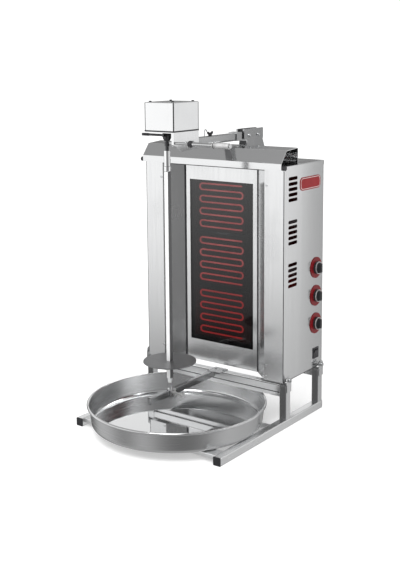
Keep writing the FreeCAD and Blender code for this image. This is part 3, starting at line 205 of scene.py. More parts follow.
class Sketch(NodeSheet):
    """Node tree of one material."""

    def __init__(self, name: str) -> None:
        """Starts an empty material.

        Args:
            name: Name of the material.
        """
        self.material = bpy.data.materials.new(name)
        super().__init__(self.material)
        self.output = self.node("ShaderNodeOutputMaterial")
        coordinates = self.node("ShaderNodeTexCoord").outputs
        self.place, self.normal = coordinates["Object"], coordinates["Normal"]

    def mapped(self, stretch: Triple, centre: Triple = (0, 0, 0)) -> Socket:
        """Moves object coordinates to a centre and stretches them.

        Args:
            stretch: Factor on each axis.
            centre: Point that becomes the pattern's origin.

        Returns:
            The mapped vector.
        """
        shift = tuple(-c * s for c, s in zip(centre, stretch))
        return self.step("ShaderNodeMapping",
                         {"Vector": self.place, "Scale": stretch, "Location": shift})

    def noise(self, vector: Socket, scale: float = 1.0, detail: float = 2.0,
              rough: float = 0.5) -> Socket:
        """Returns a noise from 0 to 1, where rough is the strength of its finer layers."""
        return self.step("ShaderNodeTexNoise", {"Vector": vector, "Scale": scale,
                                                "Detail": detail, "Roughness": rough})

    def blend(self, share: Socket, first: Colour | Socket, second: Colour | Socket) -> Socket:
        """Mixes two colours by the second one's share."""
        return self.node("ShaderNodeMix", {0: share, 6: first, 7: second},
                         data_type="RGBA").outputs[2]

    def bump(self, height: Socket, depth: float, strength: float) -> Socket:
        """Returns the normal bent by a height from 0 to 1, whose depth is in metres."""
        return self.step("ShaderNodeBump",
                         {"Height": height, "Distance": depth, "Strength": strength})

    def close(self, shader: Socket) -> None:
        """Ends the material in a shader."""
        self.feed(shader, self.output.inputs["Surface"])

    def surface(self, metallic: float = 0.0, **sockets: Value) -> None:
        """Ends the material in a principled shader.

        Args:
            metallic: 1 for bare metal.
            **sockets: Values or links of its inputs, with _ for a space.
        """
        inputs = {key.replace("_", " "): value for key, value in sockets.items()}
        self.close(self.step("ShaderNodeBsdfPrincipled", {"Metallic": metallic, **inputs}))


# Finishes


@dataclass(frozen=True)
class Finish:
    """A finish that is made once and shared by the parts that carry it."""

    name: str

    def build(self, sketch: Sketch) -> None:
        """Builds the node tree.

        Args:
            sketch: Empty material to fill.
        """
        raise NotImplementedError

    def material(self) -> Material:
        """Builds the material the first time.

        Returns:
            The material.
        """
        known = bpy.data.materials.get(self.name)
        if known:
            return known
        sketch = Sketch(self.name)
        self.build(sketch)
        return sketch.material

    def coat(self, piece: Solid) -> None:
        """Puts the finish on every slot of an object.

        Args:
            piece: Object that carries it.
        """
        if not piece.data.materials:
            piece.data.materials.append(None)
        for slot in piece.material_slots:
            slot.material = self.material()

    def dress(self, *parts: str) -> None:
        """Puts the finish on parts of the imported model, by name."""
        for part in parts:
            self.coat(PARTS[part])


@dataclass(frozen=True)
class BrushedSteel(Finish):
    """Steel sheet or tube with a brushed grain, faint streaks and handling marks."""

    grain: Grain = Grain.ALONG_Z
    colour: Colour = (0.80, 0.805, 0.81)
    dark: Colour = (0.70, 0.705, 0.71)
    rough: float = 0.17
    spread: float = 0.07
    relief: float = 0.12
    streak_stretch: float = 0.12
    fine_share: float = 0.6

    def build(self, sketch: Sketch) -> None:
        """Builds the brushed finish.

        Args:
            sketch: Empty material to fill.
        """
        fine = sketch.noise(sketch.mapped(self.grain.value), detail=3.0, rough=0.65)
        wide = sketch.noise(sketch.mapped(shade(self.grain.value, self.streak_stretch)))
        marks = sketch.noise(sketch.place, scale=5.0, detail=3.0)
        streaks = sketch.maths("ADD", sketch.maths("MULTIPLY", fine, self.fine_share),
                               sketch.maths("MULTIPLY", wide, 1 - self.fine_share))
        tone = sketch.maths("ADD", sketch.span(streaks, Band.MIDDLE, to_high=0.35),
                            sketch.span(marks, Band.PEAKS_SOFT, to_high=0.15))
        rough = sketch.maths("ADD", sketch.vary(streaks, self.rough, self.spread / 2),
                             sketch.span(marks, Band.PEAKS, to_high=0.08))
        sketch.surface(metallic=1.0, Base_Color=sketch.blend(tone, self.colour, self.dark),
                       Roughness=rough,
                       Normal=sketch.bump(fine, depth=0.00006, strength=self.relief))


@dataclass(frozen=True)
class BrightSteel(Finish):
    """Turned, drawn or polished bright steel."""

    colour: Colour = (0.86, 0.865, 0.87)
    dulled: float = 0.8
    rough: float = 0.09
    spread: float = 0.3
    lines: Triple = (40.0, 40.0, 900.0)

    def build(self, sketch: Sketch) -> None:
        """Builds the bright finish.

        Args:
            sketch: Empty material to fill.
        """
        turned = sketch.noise(sketch.mapped(self.lines))
        marks = sketch.noise(sketch.place, scale=60.0, detail=3.0, rough=0.6)
        tone = sketch.span(marks, Band.PEAKS_SOFT, to_high=0.5)
        rough = sketch.maths("ADD", sketch.vary(turned, self.rough, self.rough * self.spread),
                             sketch.span(marks, Band.PEAKS_SOFT, to_high=0.06))
        colour = sketch.blend(tone, self.colour, shade(self.colour, self.dulled))
        sketch.surface(metallic=1.0, Base_Color=colour, Roughness=rough,
                       Normal=sketch.bump(turned, depth=0.00004, strength=0.2))


@dataclass(frozen=True)
class DrawnBar(Finish):
    """Drawn square bar, bright front and back, its two sides across X coloured dark as painted
    shade.
    """

    colour: Colour = (0.88, 0.885, 0.89)
    worn: float = 0.9
    # dark: colour of the painted shade on the bar's two sides across X.
    dark: Colour = (0.09, 0.09, 0.092)
    metal: float = 0.25
    rough: float = 0.30
    spread: float = 0.15
    half: float = 0.007
    edge: float = 0.0007
    full_at: float = 0.6
    ragged: float = 0.0001
    lines: Triple = (700.0, 700.0, 30.0)

    def build(self, sketch: Sketch) -> None:
        """Builds the drawn finish.

        Args:
            sketch: Empty material to fill.
        """
        grain = sketch.noise(sketch.mapped(self.lines))
        # Painted shade: faces near the half width across X, the bar's two sides, take the dark
        # colour.
        across = sketch.maths("ADD", sketch.maths("ABSOLUTE", sketch.part(sketch.place, 0)),
                              sketch.vary(grain, middle=0.0, reach=self.ragged))
        painted_side_shade = sketch.span(across, (self.half - self.edge, self.half - self.edge * self.full_at))
        bright = sketch.blend(sketch.span(grain, Band.UPPER), self.colour,
                              shade(self.colour, self.worn))
        sketch.surface(metallic=self.metal, Base_Color=sketch.blend(painted_side_shade, bright, self.dark),
                       Roughness=sketch.vary(grain, self.rough, self.rough * self.spread),
                       Normal=sketch.bump(grain, depth=0.00004, strength=0.2))


@dataclass(frozen=True)
class SpunTray(Finish):
    """Spun steel: mirror-bright floor, wall brushed round and round."""

    colour: Colour = (0.84, 0.845, 0.85)
    wall: Colour = (0.70, 0.705, 0.71)
    wall_dulled: float = 0.98
    centre: Triple = (0.0, -0.0775, 0.0)
    lines: Triple = (2.0, 2.0, 700.0)
    slope: Pair = (0.35, 0.8)
    floor_rough: Pair = (0.035, 0.065)
    wall_rough: float = 0.26
    wall_spread: float = 0.015

    def build(self, sketch: Sketch) -> None:
        """Builds the spun finish.

        Args:
            sketch: Empty material to fill.
        """
        level = sketch.maths("ABSOLUTE", sketch.part(sketch.normal, 2))
        steep = sketch.span(level, self.slope, to_low=1.0, to_high=0.0)
        rings = sketch.noise(sketch.mapped(self.lines, self.centre), detail=3.0, rough=0.6)
        marks = sketch.noise(sketch.place, scale=9.0, detail=4.0, rough=0.6)
        wall = sketch.blend(sketch.span(rings, Band.MOST), self.wall,
                            shade(self.wall, self.wall_dulled))
        floor = sketch.blend(sketch.span(marks, Band.PEAKS_SOFT, to_high=0.5), self.colour,
                             self.wall)
        brushed = sketch.vary(rings, self.wall_rough, self.wall_spread)
        smooth = sketch.span(marks, Band.UPPER_SOFT, *self.floor_rough)
        flat = sketch.maths("SUBTRACT", 1.0, steep)
        rough = sketch.maths("ADD", sketch.maths("MULTIPLY", steep, brushed),
                             sketch.maths("MULTIPLY", flat, smooth))
        relief = sketch.maths("MULTIPLY", rings, steep)
        sketch.surface(metallic=1.0, Base_Color=sketch.blend(steep, floor, wall),
                       Roughness=rough, Normal=sketch.bump(relief, depth=0.00001, strength=0.02))


@dataclass(frozen=True)
class MouldedPlastic(Finish):
    """Moulded plastic or lacquer with a fine eroded grain."""

    colour: Colour = (0.018, 0.018, 0.02)
    worn: Colour = (0.05, 0.05, 0.053)
    rough: float = 0.38
    lacquer: float = 0.0

    def build(self, sketch: Sketch) -> None:
        """Builds the plastic.

        Args:
            sketch: Empty material to fill.
        """
        grain = sketch.noise(sketch.place, scale=1600.0)
        patch = sketch.noise(sketch.place, scale=45.0, detail=3.0)
        rough = sketch.maths("ADD", sketch.vary(grain, self.rough, reach=0.05),
                             sketch.span(patch, Band.UPPER, to_low=-0.03, to_high=0.05))
        wear = sketch.span(patch, Band.UPPER_SOFTER, to_high=0.6)
        sketch.surface(Base_Color=sketch.blend(wear, self.colour, self.worn), Roughness=rough,
                       Normal=sketch.bump(grain, depth=0.00008, strength=0.5),
                       Coat_Weight=self.lacquer, Coat_Roughness=0.12, Specular_IOR_Level=0.3)


@dataclass(frozen=True)
class TintedGlass(Finish):
    """Smoked glass ceramic: see-through, with a glossy reflection whose share is painted by height,
    stronger at the top and weaker lower down.
    """

    tint: Colour = (0.30, 0.30, 0.31)
    haze: float = 0.85
    film_lines: Triple = (3.0, 3.0, 1.2)
    # Heights between which the painted reflection's share grows, and that share at each end.
    painted_sheen_heights: Pair = (0.22, 0.74)
    painted_sheen_share: Pair = (0.45, 1.45)

    def build(self, sketch: Sketch) -> None:
        """Builds the glass.

        Args:
            sketch: Empty material to fill.
        """
        film = sketch.noise(sketch.mapped(self.film_lines), scale=2.0, detail=4.0, rough=0.6)
        tint = sketch.blend(sketch.span(film, Band.BROAD), self.tint, shade(self.tint, self.haze))
        through = sketch.step("ShaderNodeBsdfTransparent", {"Color": tint})
        smears = sketch.span(film, Band.UPPER_SOFT, to_low=0.02, to_high=0.10)
        gloss = sketch.step("ShaderNodeBsdfGlossy", {"Roughness": smears})
        # Painted reflection: the Fresnel share is scaled by height.
        share = sketch.maths("MULTIPLY", sketch.step("ShaderNodeFresnel", {"IOR": 1.54}),
                             sketch.span(sketch.part(sketch.place, 2), self.painted_sheen_heights,
                                         *self.painted_sheen_share))
        sketch.close(sketch.mix(share, through, gloss))


@dataclass(frozen=True)
class GlowingTube(Finish):
    """Sheathed heater tube at working heat, paler higher up and cooler at some stretches."""

    sheath: Colour = (0.12, 0.03, 0.025)
    hot: Colour = (0.80, 0.030, 0.030)
    cool: Colour = (0.60, 0.025, 0.030)
    pale: Colour = (1.0, 0.26, 0.24)
    heights: Pair = (0.36, 0.52)
    strength: float = 4.2

    def build(self, sketch: Sketch) -> None:
        """Builds the glowing finish.

        Args:
            sketch: Empty material to fill.
        """
        drift = sketch.noise(sketch.place, scale=22.0, detail=3.0)
        scale = sketch.noise(sketch.place, scale=700.0)
        higher = sketch.span(sketch.part(sketch.place, 2), self.heights, to_high=0.75)
        glow = sketch.blend(higher, self.hot, self.pale)
        glow = sketch.blend(sketch.span(drift, Band.BROAD, to_high=0.7), glow, self.cool)
        sketch.surface(Base_Color=self.sheath, Roughness=sketch.vary(scale, 0.65, reach=0.15),
                       Emission_Color=glow, Emission_Strength=self.strength,
                       Normal=sketch.bump(scale, depth=0.0001, strength=0.4))


@dataclass(frozen=True)
class PressedBoard(Finish):
    """Pressed mineral-fibre insulation with a faint painted red light from the lowest heater,
    stronger lower down.
    """

    colour: Colour = (0.05, 0.045, 0.045)
    pale: Colour = (0.10, 0.09, 0.085)
    stained: Colour = (0.03, 0.022, 0.02)
    painted_heater_light: Colour = (1.0, 0.03, 0.02)
    fibres: Triple = (300.0, 300.0, 1100.0)
    heights: Pair = (0.30, 0.40)
    glow: Pair = (0.07, 0.007)

    def build(self, sketch: Sketch) -> None:
        """Builds the board.

        Args:
            sketch: Empty material to fill.
        """
        fibre = sketch.noise(sketch.mapped(self.fibres), detail=4.0, rough=0.7)
        stain = sketch.noise(sketch.place, scale=18.0, detail=3.0)
        tone = sketch.blend(sketch.span(fibre, Band.BROAD), self.colour, self.pale)
        tone = sketch.blend(sketch.span(stain, Band.HIGH, to_high=0.6), tone, self.stained)
        # Painted light: a faint red emission stands in for the lowest heater's light on the board,
        # strongest at the bottom.
        heat = sketch.maths("MULTIPLY",
                            sketch.span(sketch.part(sketch.place, 2), self.heights, *self.glow),
                            sketch.span(stain, Band.MOST, to_low=0.5, to_high=1.2))
        sketch.surface(Base_Color=tone, Roughness=sketch.span(fibre, Band.MOST, to_low=0.85),
                       Emission_Color=self.painted_heater_light, Emission_Strength=heat,
                       Normal=sketch.bump(fibre, depth=0.0004, strength=0.6))


@dataclass(frozen=True)
class CutMetal(Finish):
    """Cast or machined metal with a slightly grainy face."""

    colour: Colour = (0.60, 0.61, 0.62)
    dulled: float = 0.72
    rough: float = 0.42
    spread: float = 0.08

    def build(self, sketch: Sketch) -> None:
        """Builds the metal.

        Args:
            sketch: Empty material to fill.
        """
        cast = sketch.noise(sketch.place, scale=900.0, detail=3.0, rough=0.6)
        patch = sketch.noise(sketch.place, scale=40.0, detail=3.0)
        colour = sketch.blend(sketch.span(patch, Band.UPPER_SOFT), self.colour,
                              shade(self.colour, self.dulled))
        sketch.surface(metallic=1.0, Base_Color=colour,
                       Roughness=sketch.vary(cast, self.rough, self.spread),
                       Normal=sketch.bump(cast, depth=0.0001, strength=0.4))


SHEET_UP = BrushedSteel("sheet_brushed_up")
SHEET_ACROSS = BrushedSteel("sheet_brushed_across", grain=Grain.ALONG_X)
SHEET_DEEP = BrushedSteel("sheet_brushed_deep", grain=Grain.ALONG_Y)
FRONT = BrushedSteel("front_brushed_up", rough=0.23, spread=0.05, relief=0.08)
HOOD = BrushedSteel("hood_satin", grain=Grain.ALONG_X, colour=(0.74, 0.745, 0.75),
                    dark=(0.68, 0.685, 0.69), rough=0.11, spread=0.03, relief=0.04)
COVER = BrushedSteel("cover_satin", dark=(0.77, 0.775, 0.78), rough=0.16, spread=0.05, relief=0.06)
# Black steel for the lever; on the bearing housing this dark colour is painted shade under the head.
DARK_STEEL = BrushedSteel("steel_blackened_and_painted_shade", grain=Grain.ALONG_Y, colour=(0.10, 0.10, 0.105),
                          dark=(0.07, 0.07, 0.075), rough=0.34)
TUBE_UP = BrushedSteel("tube_ground_up", rough=0.20, relief=0.2)
TUBE_ACROSS = BrushedSteel("tube_ground_across", grain=Grain.ALONG_X, colour=(0.90, 0.905, 0.91),
                           dark=(0.80, 0.805, 0.81), rough=0.38, relief=0.2)
TUBE_DEEP = BrushedSteel("tube_ground_deep", grain=Grain.ALONG_Y, colour=(0.90, 0.905, 0.91),
                         dark=(0.78, 0.785, 0.79), rough=0.20, relief=0.2)
ARM_STEEL = BrushedSteel("arm_ground_deep", grain=Grain.ALONG_Y, colour=(0.50, 0.505, 0.51),
                         dark=(0.42, 0.425, 0.43), rough=0.22, relief=0.2)
# Painted shade: the dark steel of the strip under the upper arm.
ARM_SHADE_STEEL = BrushedSteel("arm_painted_shade", grain=Grain.ALONG_Y, colour=(0.40, 0.40, 0.405),
                           dark=(0.32, 0.32, 0.325), rough=0.45)
DULL = BrushedSteel("disc_dulled", grain=Grain.ALONG_X, colour=(0.30, 0.30, 0.305),
                    dark=(0.24, 0.24, 0.245), rough=0.42)
TRAY = SpunTray("tray_spun")
CHROME = BrightSteel("bright_turned")
ROD = BrightSteel("rod_drawn", colour=(0.62, 0.625, 0.63), rough=0.18)
BAR = DrawnBar("bar_drawn")
ZINC = CutMetal("zinc_plated", colour=(0.66, 0.67, 0.68), rough=0.30)
SATIN = CutMetal("trim_satin", colour=(0.80, 0.80, 0.80), rough=0.6)
BRASS = CutMetal("gear_brass_cut", colour=(0.72, 0.55, 0.28), rough=0.3)
ALLOY = CutMetal("motor_case_cast", colour=(0.55, 0.56, 0.57), rough=0.45)
BLACK = MouldedPlastic("black_moulded")
BLACK_GLOSS = MouldedPlastic("black_glossy", rough=0.2)
RED = MouldedPlastic("red_scale_ring", colour=(0.16, 0.004, 0.007), worn=(0.11, 0.003, 0.005),
                     rough=0.3, lacquer=0.1)
RED_PLATE = MouldedPlastic("red_plate_lacquer", colour=(0.24, 0.008, 0.011),
                           worn=(0.18, 0.006, 0.008), rough=0.4)
CREAM = MouldedPlastic("pale_print", colour=(0.60, 0.50, 0.49), worn=(0.50, 0.40, 0.39), rough=0.45)
GLASS = TintedGlass("smoked_glass")
HOT = GlowingTube("glowing_tube")
BOARD = PressedBoard("mineral_board")


# Modelling helpers


def clear_selection() -> None:
    """Leaves edit mode and deselects everything."""
    if bpy.context.object and bpy.context.object.mode != "OBJECT":
        bpy.ops.object.mode_set(mode="OBJECT")
    bpy.ops.object.select_all(action="DESELECT")


def settle(piece: Solid, name: str, body: str, finish: Finish) -> None:
    """Bakes a piece's place into its mesh, names it, dresses it and hands it to a body.

    Args:
        piece: Finished object.
        name: Its new name.
        body: Body that it rides on.
        finish: Its finish.
    """
    clear_selection()
    piece.select_set(True)
    bpy.context.view_layer.objects.active = piece
    bpy.ops.object.transform_apply(location=True, rotation=True, scale=True)
    piece.name = name
    piece.data.name = name
    finish.coat(piece)
    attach(piece, body)
    log.info("built %s on %s", name, body)


def select(piece: Solid, kind: str, wanted: Callable[..., bool]) -> None:
    """Enters edit mode with only the wanted faces or edges selected.

    Args:
        piece: Object to edit.
        kind: FACE or EDGE.
        wanted: Test for one of them.
    """
    bpy.ops.object.mode_set(mode="EDIT")
    bpy.ops.mesh.select_mode(type=kind)
    bpy.ops.mesh.select_all(action="DESELECT")
    mesh = bmesh.from_edit_mesh(piece.data)
    for item in mesh.faces if kind == "FACE" else mesh.edges:
        item.select = wanted(item)
    bmesh.update_edit_mesh(piece.data)


def turn_outwards() -> None:
    """Points the edited object's faces outwards and leaves edit mode."""
    bpy.ops.mesh.select_all(action="SELECT")
    bpy.ops.mesh.normals_make_consistent(inside=False)
    bpy.ops.object.mode_set(mode="OBJECT")


def slab(low: Triple, high: Triple, soften: float = 0.0, segments: int = 2) -> Solid:
    """Models a block between two corners, with its size in its mesh.

    Args:
        low: Lowest corner.
        high: Highest corner.
        soften: Width of the bevel on its edges.
        segments: Faces across the bevel.

    Returns:
        The block.
    """
    clear_selection()
    bpy.ops.mesh.primitive_cube_add(size=1.0, location=[(a + b) / 2 for a, b in zip(low, high)],
                                    scale=[b - a for a, b in zip(low, high)])
    bpy.ops.object.transform_apply(location=False, rotation=False, scale=True)
    if soften:
        bpy.ops.object.mode_set(mode="EDIT")
        bpy.ops.mesh.select_all(action="SELECT")
        bpy.ops.mesh.bevel(offset=soften, segments=segments, affect="EDGES")
        bpy.ops.object.mode_set(mode="OBJECT")
    return bpy.context.object


def draw_dark_line(name: str, low: Triple, high: Triple) -> None:
    """Models a thin dark line on the stand; some lines are joints and some are painted shade.

    Args:
        name: Its name.
        low: Lowest corner.
        high: Highest corner.
    """
    settle(slab(low, high, LINE_EDGE, segments=1), name, "stand", BLACK)


def hollow(piece: Solid, wall: float, axis: int) -> None:
    """Opens a block or a cylinder from end to end.

    Args:
        piece: Object to open.
        wall: Thickness left around the hole.
        axis: Direction of the hole.
    """
    select(piece, "FACE", lambda face: abs(face.normal[axis]) > FACING)
    bpy.ops.mesh.inset(thickness=wall)
    bpy.ops.mesh.bridge_edge_loops()
    turn_outwards()


def turned_ring(centre: Triple, radius: float, length: float, wall: float) -> Solid:
    """Models a round ring whose axis points along X.

    Args:
        centre: Its middle.
        radius: Its outer radius.
        length: Its length along the axis.
        wall: Its thickness outwards.

    Returns:
        The ring.
    """
    clear_selection()
    bpy.ops.mesh.primitive_cylinder_add(vertices=ROUND_SIDES, radius=radius, depth=length,
                                        location=centre, rotation=(0.0, QUARTER_TURN, 0.0))
    bpy.ops.object.transform_apply(location=False, rotation=True, scale=False)
    hollow(bpy.context.object, wall, axis=0)
    bpy.ops.object.shade_smooth_by_angle(angle=SMOOTH_BELOW)
    return bpy.context.object


def hub(part: str) -> Triple:
    """Returns the Y and Z of a round part's axis along X, and its radius."""
    low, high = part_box(part)
    return (low[1] + high[1]) / 2, (low[2] + high[2]) / 2, (high[2] - low[2]) / 2


# Sub-assemblies


@dataclass
class FloorFrame:
    """Welded floor rails, legs, cross tubes, ears and end caps."""

    tube: float = 0.025
    cross_line_proud: float = 0.0003
    upper_drop: float = 0.0018
    upper_height: float = 0.00176
    upper_depth: float = 0.002
    lower_height: float = 0.0022
    lower_depth: float = 0.0032

    def dress(self) -> None:
        """Dresses the frame's solids."""
        TUBE_DEEP.dress("floor_rails")
        TUBE_UP.dress("legs", "leg_ears")
        TUBE_ACROSS.dress("cross_members")
        BLACK.dress("rail_end_caps")
        ZINC.dress("ear_bolts")

    def build_cross_lines(self) -> None:
        """Builds dark lines along the front cross tube: one along its upper front edge, and a
        painted shadow along its lower edge.
        """
        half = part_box("cross_members")[1][0]
        front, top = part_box("legs")[0][1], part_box("legs")[1][2]
        back, high = front - self.cross_line_proud, top - self.upper_drop
        # A dark line along the tube's upper front edge.
        draw_dark_line("cross_line_upper", (-half, back, high - self.upper_height),
                   (half, front + self.upper_depth, high))
        # Painted shadow: a dark line along the tube's lower edge.
        low = top - self.tube - self.lower_height / 2
        draw_dark_line("cross_painted_shadow_lower", (-half, back, low),
                   (half, front + self.lower_depth, low + self.lower_height))

    def build(self) -> None:
        """Dresses the frame and adds the dark lines on its cross tube."""
        self.dress()
        self.build_cross_lines()


@dataclass
class Cabinet:
    """Sheet cabinet with its folded front, louvred sides, lid and glazed window."""

    badge_y: Pair = (0.2055, 0.3285)
    badge_z: Pair = (0.7235, 0.7640)
    badge_corner: float = 0.015
    badge_thickness: float = 0.0015
    badge_border: float = 0.003
    badge_sink: float = 0.0005
    line_width: float = 0.0016
    line_height: float = 0.0003
    line_sunk: float = 0.0002
    seam_width: float = 0.0022
    seam_proud: float = 0.0005
    seam_foot: float = 0.002
    seam_head: float = 0.004
    # Place and size of the dark strips of painted shade beside the folds.
    fold_x: float = 0.1388
    fold_y: float = 0.1605
    fold_shade_size: float = 0.0034
    fold_sunk: float = 0.0002
    foot_depth: float = 0.001
    # Inset, depths and heights of the dark strip of painted shadow under the lid's lip.
    lip_shadow_inset: float = 0.004
    lip_shadow_depths: Pair = (0.001, 0.003)
    lip_shadow_heights: Pair = (-0.0018, 0.0003)

    def dress(self) -> None:
        """Dresses the cabinet's solids."""
        FRONT.dress("front_shell")
        SHEET_UP.dress("right_side_panel", "left_side_panel", "rear_panel")
        SHEET_DEEP.dress("bottom_panel", "glass_retainer")
        SHEET_ACROSS.dress("top_lid")
        HOOD.dress("hood")
        ZINC.dress("cabinet_screws")
        BLACK.dress("hood_thumb_screws", "cable_gland", "terminal_block")
        GLASS.dress("glass_pane")
        HOT.dress("radiant_heaters")
        BOARD.dress("heater_boards")

    def build_seams(self) -> None:
        """Builds the dark joints at the corners and at the foot, and the dark strips of painted
        shade at the folds and under the lid.
        """
        shell, side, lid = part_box("front_shell"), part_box("right_side_panel"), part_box("top_lid")
        front, edge = shell[0][1], side[1][0]
        bottom, top = shell[0][2] + self.seam_foot, shell[1][2] - self.seam_head
        outer = edge + self.seam_proud
        for name, sign in (("right", 1), ("left", -1)):
            x0, x1 = sorted((sign * (edge - self.seam_width / 2), sign * outer))
            draw_dark_line(f"corner_seam_{name}", (x0, front - self.seam_proud, bottom),
                       (x1, front + self.seam_width, top))
            # Painted shade: a dark strip in the corner beside each fold, where the centre frame's
            # proud side is in shadow.
            x0, x1 = sorted((sign * self.fold_x, sign * (self.fold_x + self.fold_shade_size)))
            draw_dark_line(f"fold_painted_shade_{name}", (x0, self.fold_y - self.fold_shade_size, bottom),
                       (x1, self.fold_y + self.fold_sunk, top))
            x0, x1 = sorted((sign * (edge - self.foot_depth), sign * outer))
            draw_dark_line(f"foot_seam_{name}", (x0, side[0][1], bottom - self.seam_foot),
                       (x1, side[1][1], bottom))
        # Painted shadow: a dark strip under the lid's front lip.
        half, (y0, y1), (z0, z1) = lid[1][0] - self.lip_shadow_inset, self.lip_shadow_depths, self.lip_shadow_heights
        draw_dark_line("lid_painted_shadow", (-half, lid[0][1] + y0, lid[0][2] + z0),
                   (half, lid[0][1] + y1, lid[0][2] + z1))

    def build_badge(self) -> None:
        """Builds the bare red plate, sunk inside its border."""
        side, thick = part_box("right_side_panel")[1][0], self.badge_thickness
        (y0, y1), (z0, z1) = self.badge_y, self.badge_z
        plate = slab((side, y0, z0), (side + thick, y1, z1))
        select(plate, "EDGE",
               lambda edge: abs(edge.verts[0].co.x - edge.verts[1].co.x) > thick / 2)
        bpy.ops.mesh.bevel(offset=self.badge_corner, segments=CORNER_SEGMENTS, affect="EDGES")
        select(plate, "FACE", lambda face: face.normal.x > FACING)
        bpy.ops.mesh.inset(thickness=self.badge_border, depth=-self.badge_sink)
        bpy.ops.object.mode_set(mode="OBJECT")
        settle(plate, "side_badge", "stand", RED_PLATE)

    def build_badge_line(self) -> None:
        """Builds the pale line just inside the badge's border."""
        step, (y0, y1), (z0, z1) = self.badge_border, self.badge_y, self.badge_z
        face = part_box("right_side_panel")[1][0] + self.badge_thickness
        clear_selection()
        bpy.ops.mesh.primitive_plane_add(
            size=1.0, location=(face - self.line_sunk, (y0 + y1) / 2, (z0 + z1) / 2),
            rotation=(0.0, QUARTER_TURN, 0.0))
        line = bpy.context.object
        line.scale = (z1 - z0 - 2 * step, y1 - y0 - 2 * step, 1.0)
        bpy.ops.object.transform_apply(location=False, rotation=True, scale=True)
        bpy.ops.object.mode_set(mode="EDIT")
        bpy.ops.mesh.select_mode(type="VERT")
        bpy.ops.mesh.select_all(action="SELECT")
        bpy.ops.mesh.bevel(offset=self.badge_corner - step, segments=CORNER_SEGMENTS,
                           affect="VERTICES")
        bpy.ops.mesh.select_mode(type="FACE")
        bpy.ops.mesh.select_all(action="SELECT")
        bpy.ops.mesh.inset(thickness=self.line_width)
        bpy.ops.mesh.delete(type="FACE")
        bpy.ops.mesh.select_all(action="SELECT")
        bpy.ops.mesh.extrude_region_move(
            TRANSFORM_OT_translate={"value": (self.line_height, 0.0, 0.0)})
        turn_outwards()
        settle(line, "badge_line", "stand", CREAM)

    def build(self) -> None:
        """Dresses the cabinet and adds its badge, its seams and its strips of painted shade."""
        self.dress()
        self.build_badge()
        self.build_badge_line()
        self.build_seams()


@dataclass
class Controls:
    """Heat regulators' knobs with their scale rings, and the rocker switch."""

    ring_back: float = 0.0102
    ring_proud: float = 0.0003
    ring_length: float = 0.0020
    ring_wall: float = 0.0022
    pointer_width: float = 0.0018
    pointer_reach: Pair = (0.25, 0.9)
    pointer_depths: Pair = (0.0003, 0.00002)
    pointer_edge: float = 0.0001

    def dress(self) -> None:
        """Dresses the knobs, rings and the switch."""
        BLACK.dress(*KNOBS, "regulators")
        BLACK_GLOSS.dress("rocker_button", "switch_frame")
        RED.dress("knob_bezels")

    def build_rings(self) -> None:
        """Turns the bright ring on each knob's skirt."""
        for part, body in KNOBS.items():
            y, z, radius = hub(part)
            ring = turned_ring((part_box(part)[1][0] - self.ring_back, y, z),
                               radius + self.ring_proud, self.ring_length, self.ring_wall)
            settle(ring, f"{part}_ring", body, SATIN)

    def build_pointers(self) -> None:
        """Builds the pale pointer line on each knob's face."""
        half, (inner, outer) = self.pointer_width / 2, self.pointer_reach
        deep, shallow = self.pointer_depths
        for part, body in KNOBS.items():
            y, z, radius = hub(part)
            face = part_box(part)[1][0]
            mark = slab((face - deep, y - half, z + radius * inner),
                        (face - shallow, y + half, z + radius * outer), self.pointer_edge,
                        segments=1)
            settle(mark, f"{part}_pointer", body, CREAM)

    def build(self) -> None:
        """Dresses the controls and adds their rings and pointers."""
        self.dress()
        self.build_rings()
        self.build_pointers()


@dataclass
class DripTray:
    """Round drip tray and the spit's disc above it."""

    def build(self) -> None:
        """Dresses the tray and the disc."""
        TRAY.dress("drip_tray")
        DULL.dress("meat_disc")


@dataclass
class Spit:
    """Skewer, its footing on the lower arm and its chuck."""

    plug_wall: float = 0.0012
    plug_depth: float = 0.003
    plug_edge: float = 0.0005
    pad_width: float = 0.006
    pad_height: float = 0.024
    pad_lift: float = 0.001
    pad_proud: float = 0.0012
    pad_sunk: float = 0.0002
    pad_edge: float = 0.0004

    def dress(self) -> None:
        """Dresses the spit and its footing."""
        BAR.dress("skewer_bar")
        CHROME.dress("skewer_collar", "chuck_sleeve", "pivot_carriage")
        SATIN.dress("thumb_screw")
        ARM_STEEL.dress("lower_arm")

    def build_plug(self) -> None:
        """Builds the plug that closes the lower arm's free end."""
        (_, y0, z0), (_, _, z1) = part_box("lower_arm")
        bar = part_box("skewer_bar")
        half = (bar[1][0] - bar[0][0]) / 2 - self.plug_wall
        plug = slab((-half, y0, z0 + self.plug_wall),
                    (half, y0 + self.plug_depth, z1 - self.plug_wall), self.plug_edge)
        settle(plug, "arm_end_plug", "stand", TUBE_DEEP)

    def build_pad(self) -> None:
        """Builds the black clamping pad on the carriage's front."""
        _, front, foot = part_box("pivot_carriage")[0]
        half, z0 = self.pad_width / 2, foot + self.pad_lift
        pad = slab((-half, front - self.pad_proud, z0),
                   (half, front + self.pad_sunk, z0 + self.pad_height), self.pad_edge)
        settle(pad, "carriage_pad", "carriage", BLACK)

    def build(self) -> None:
        """Dresses the spit and adds its plug and its pad."""
        self.dress()
        self.build_plug()
        self.build_pad()


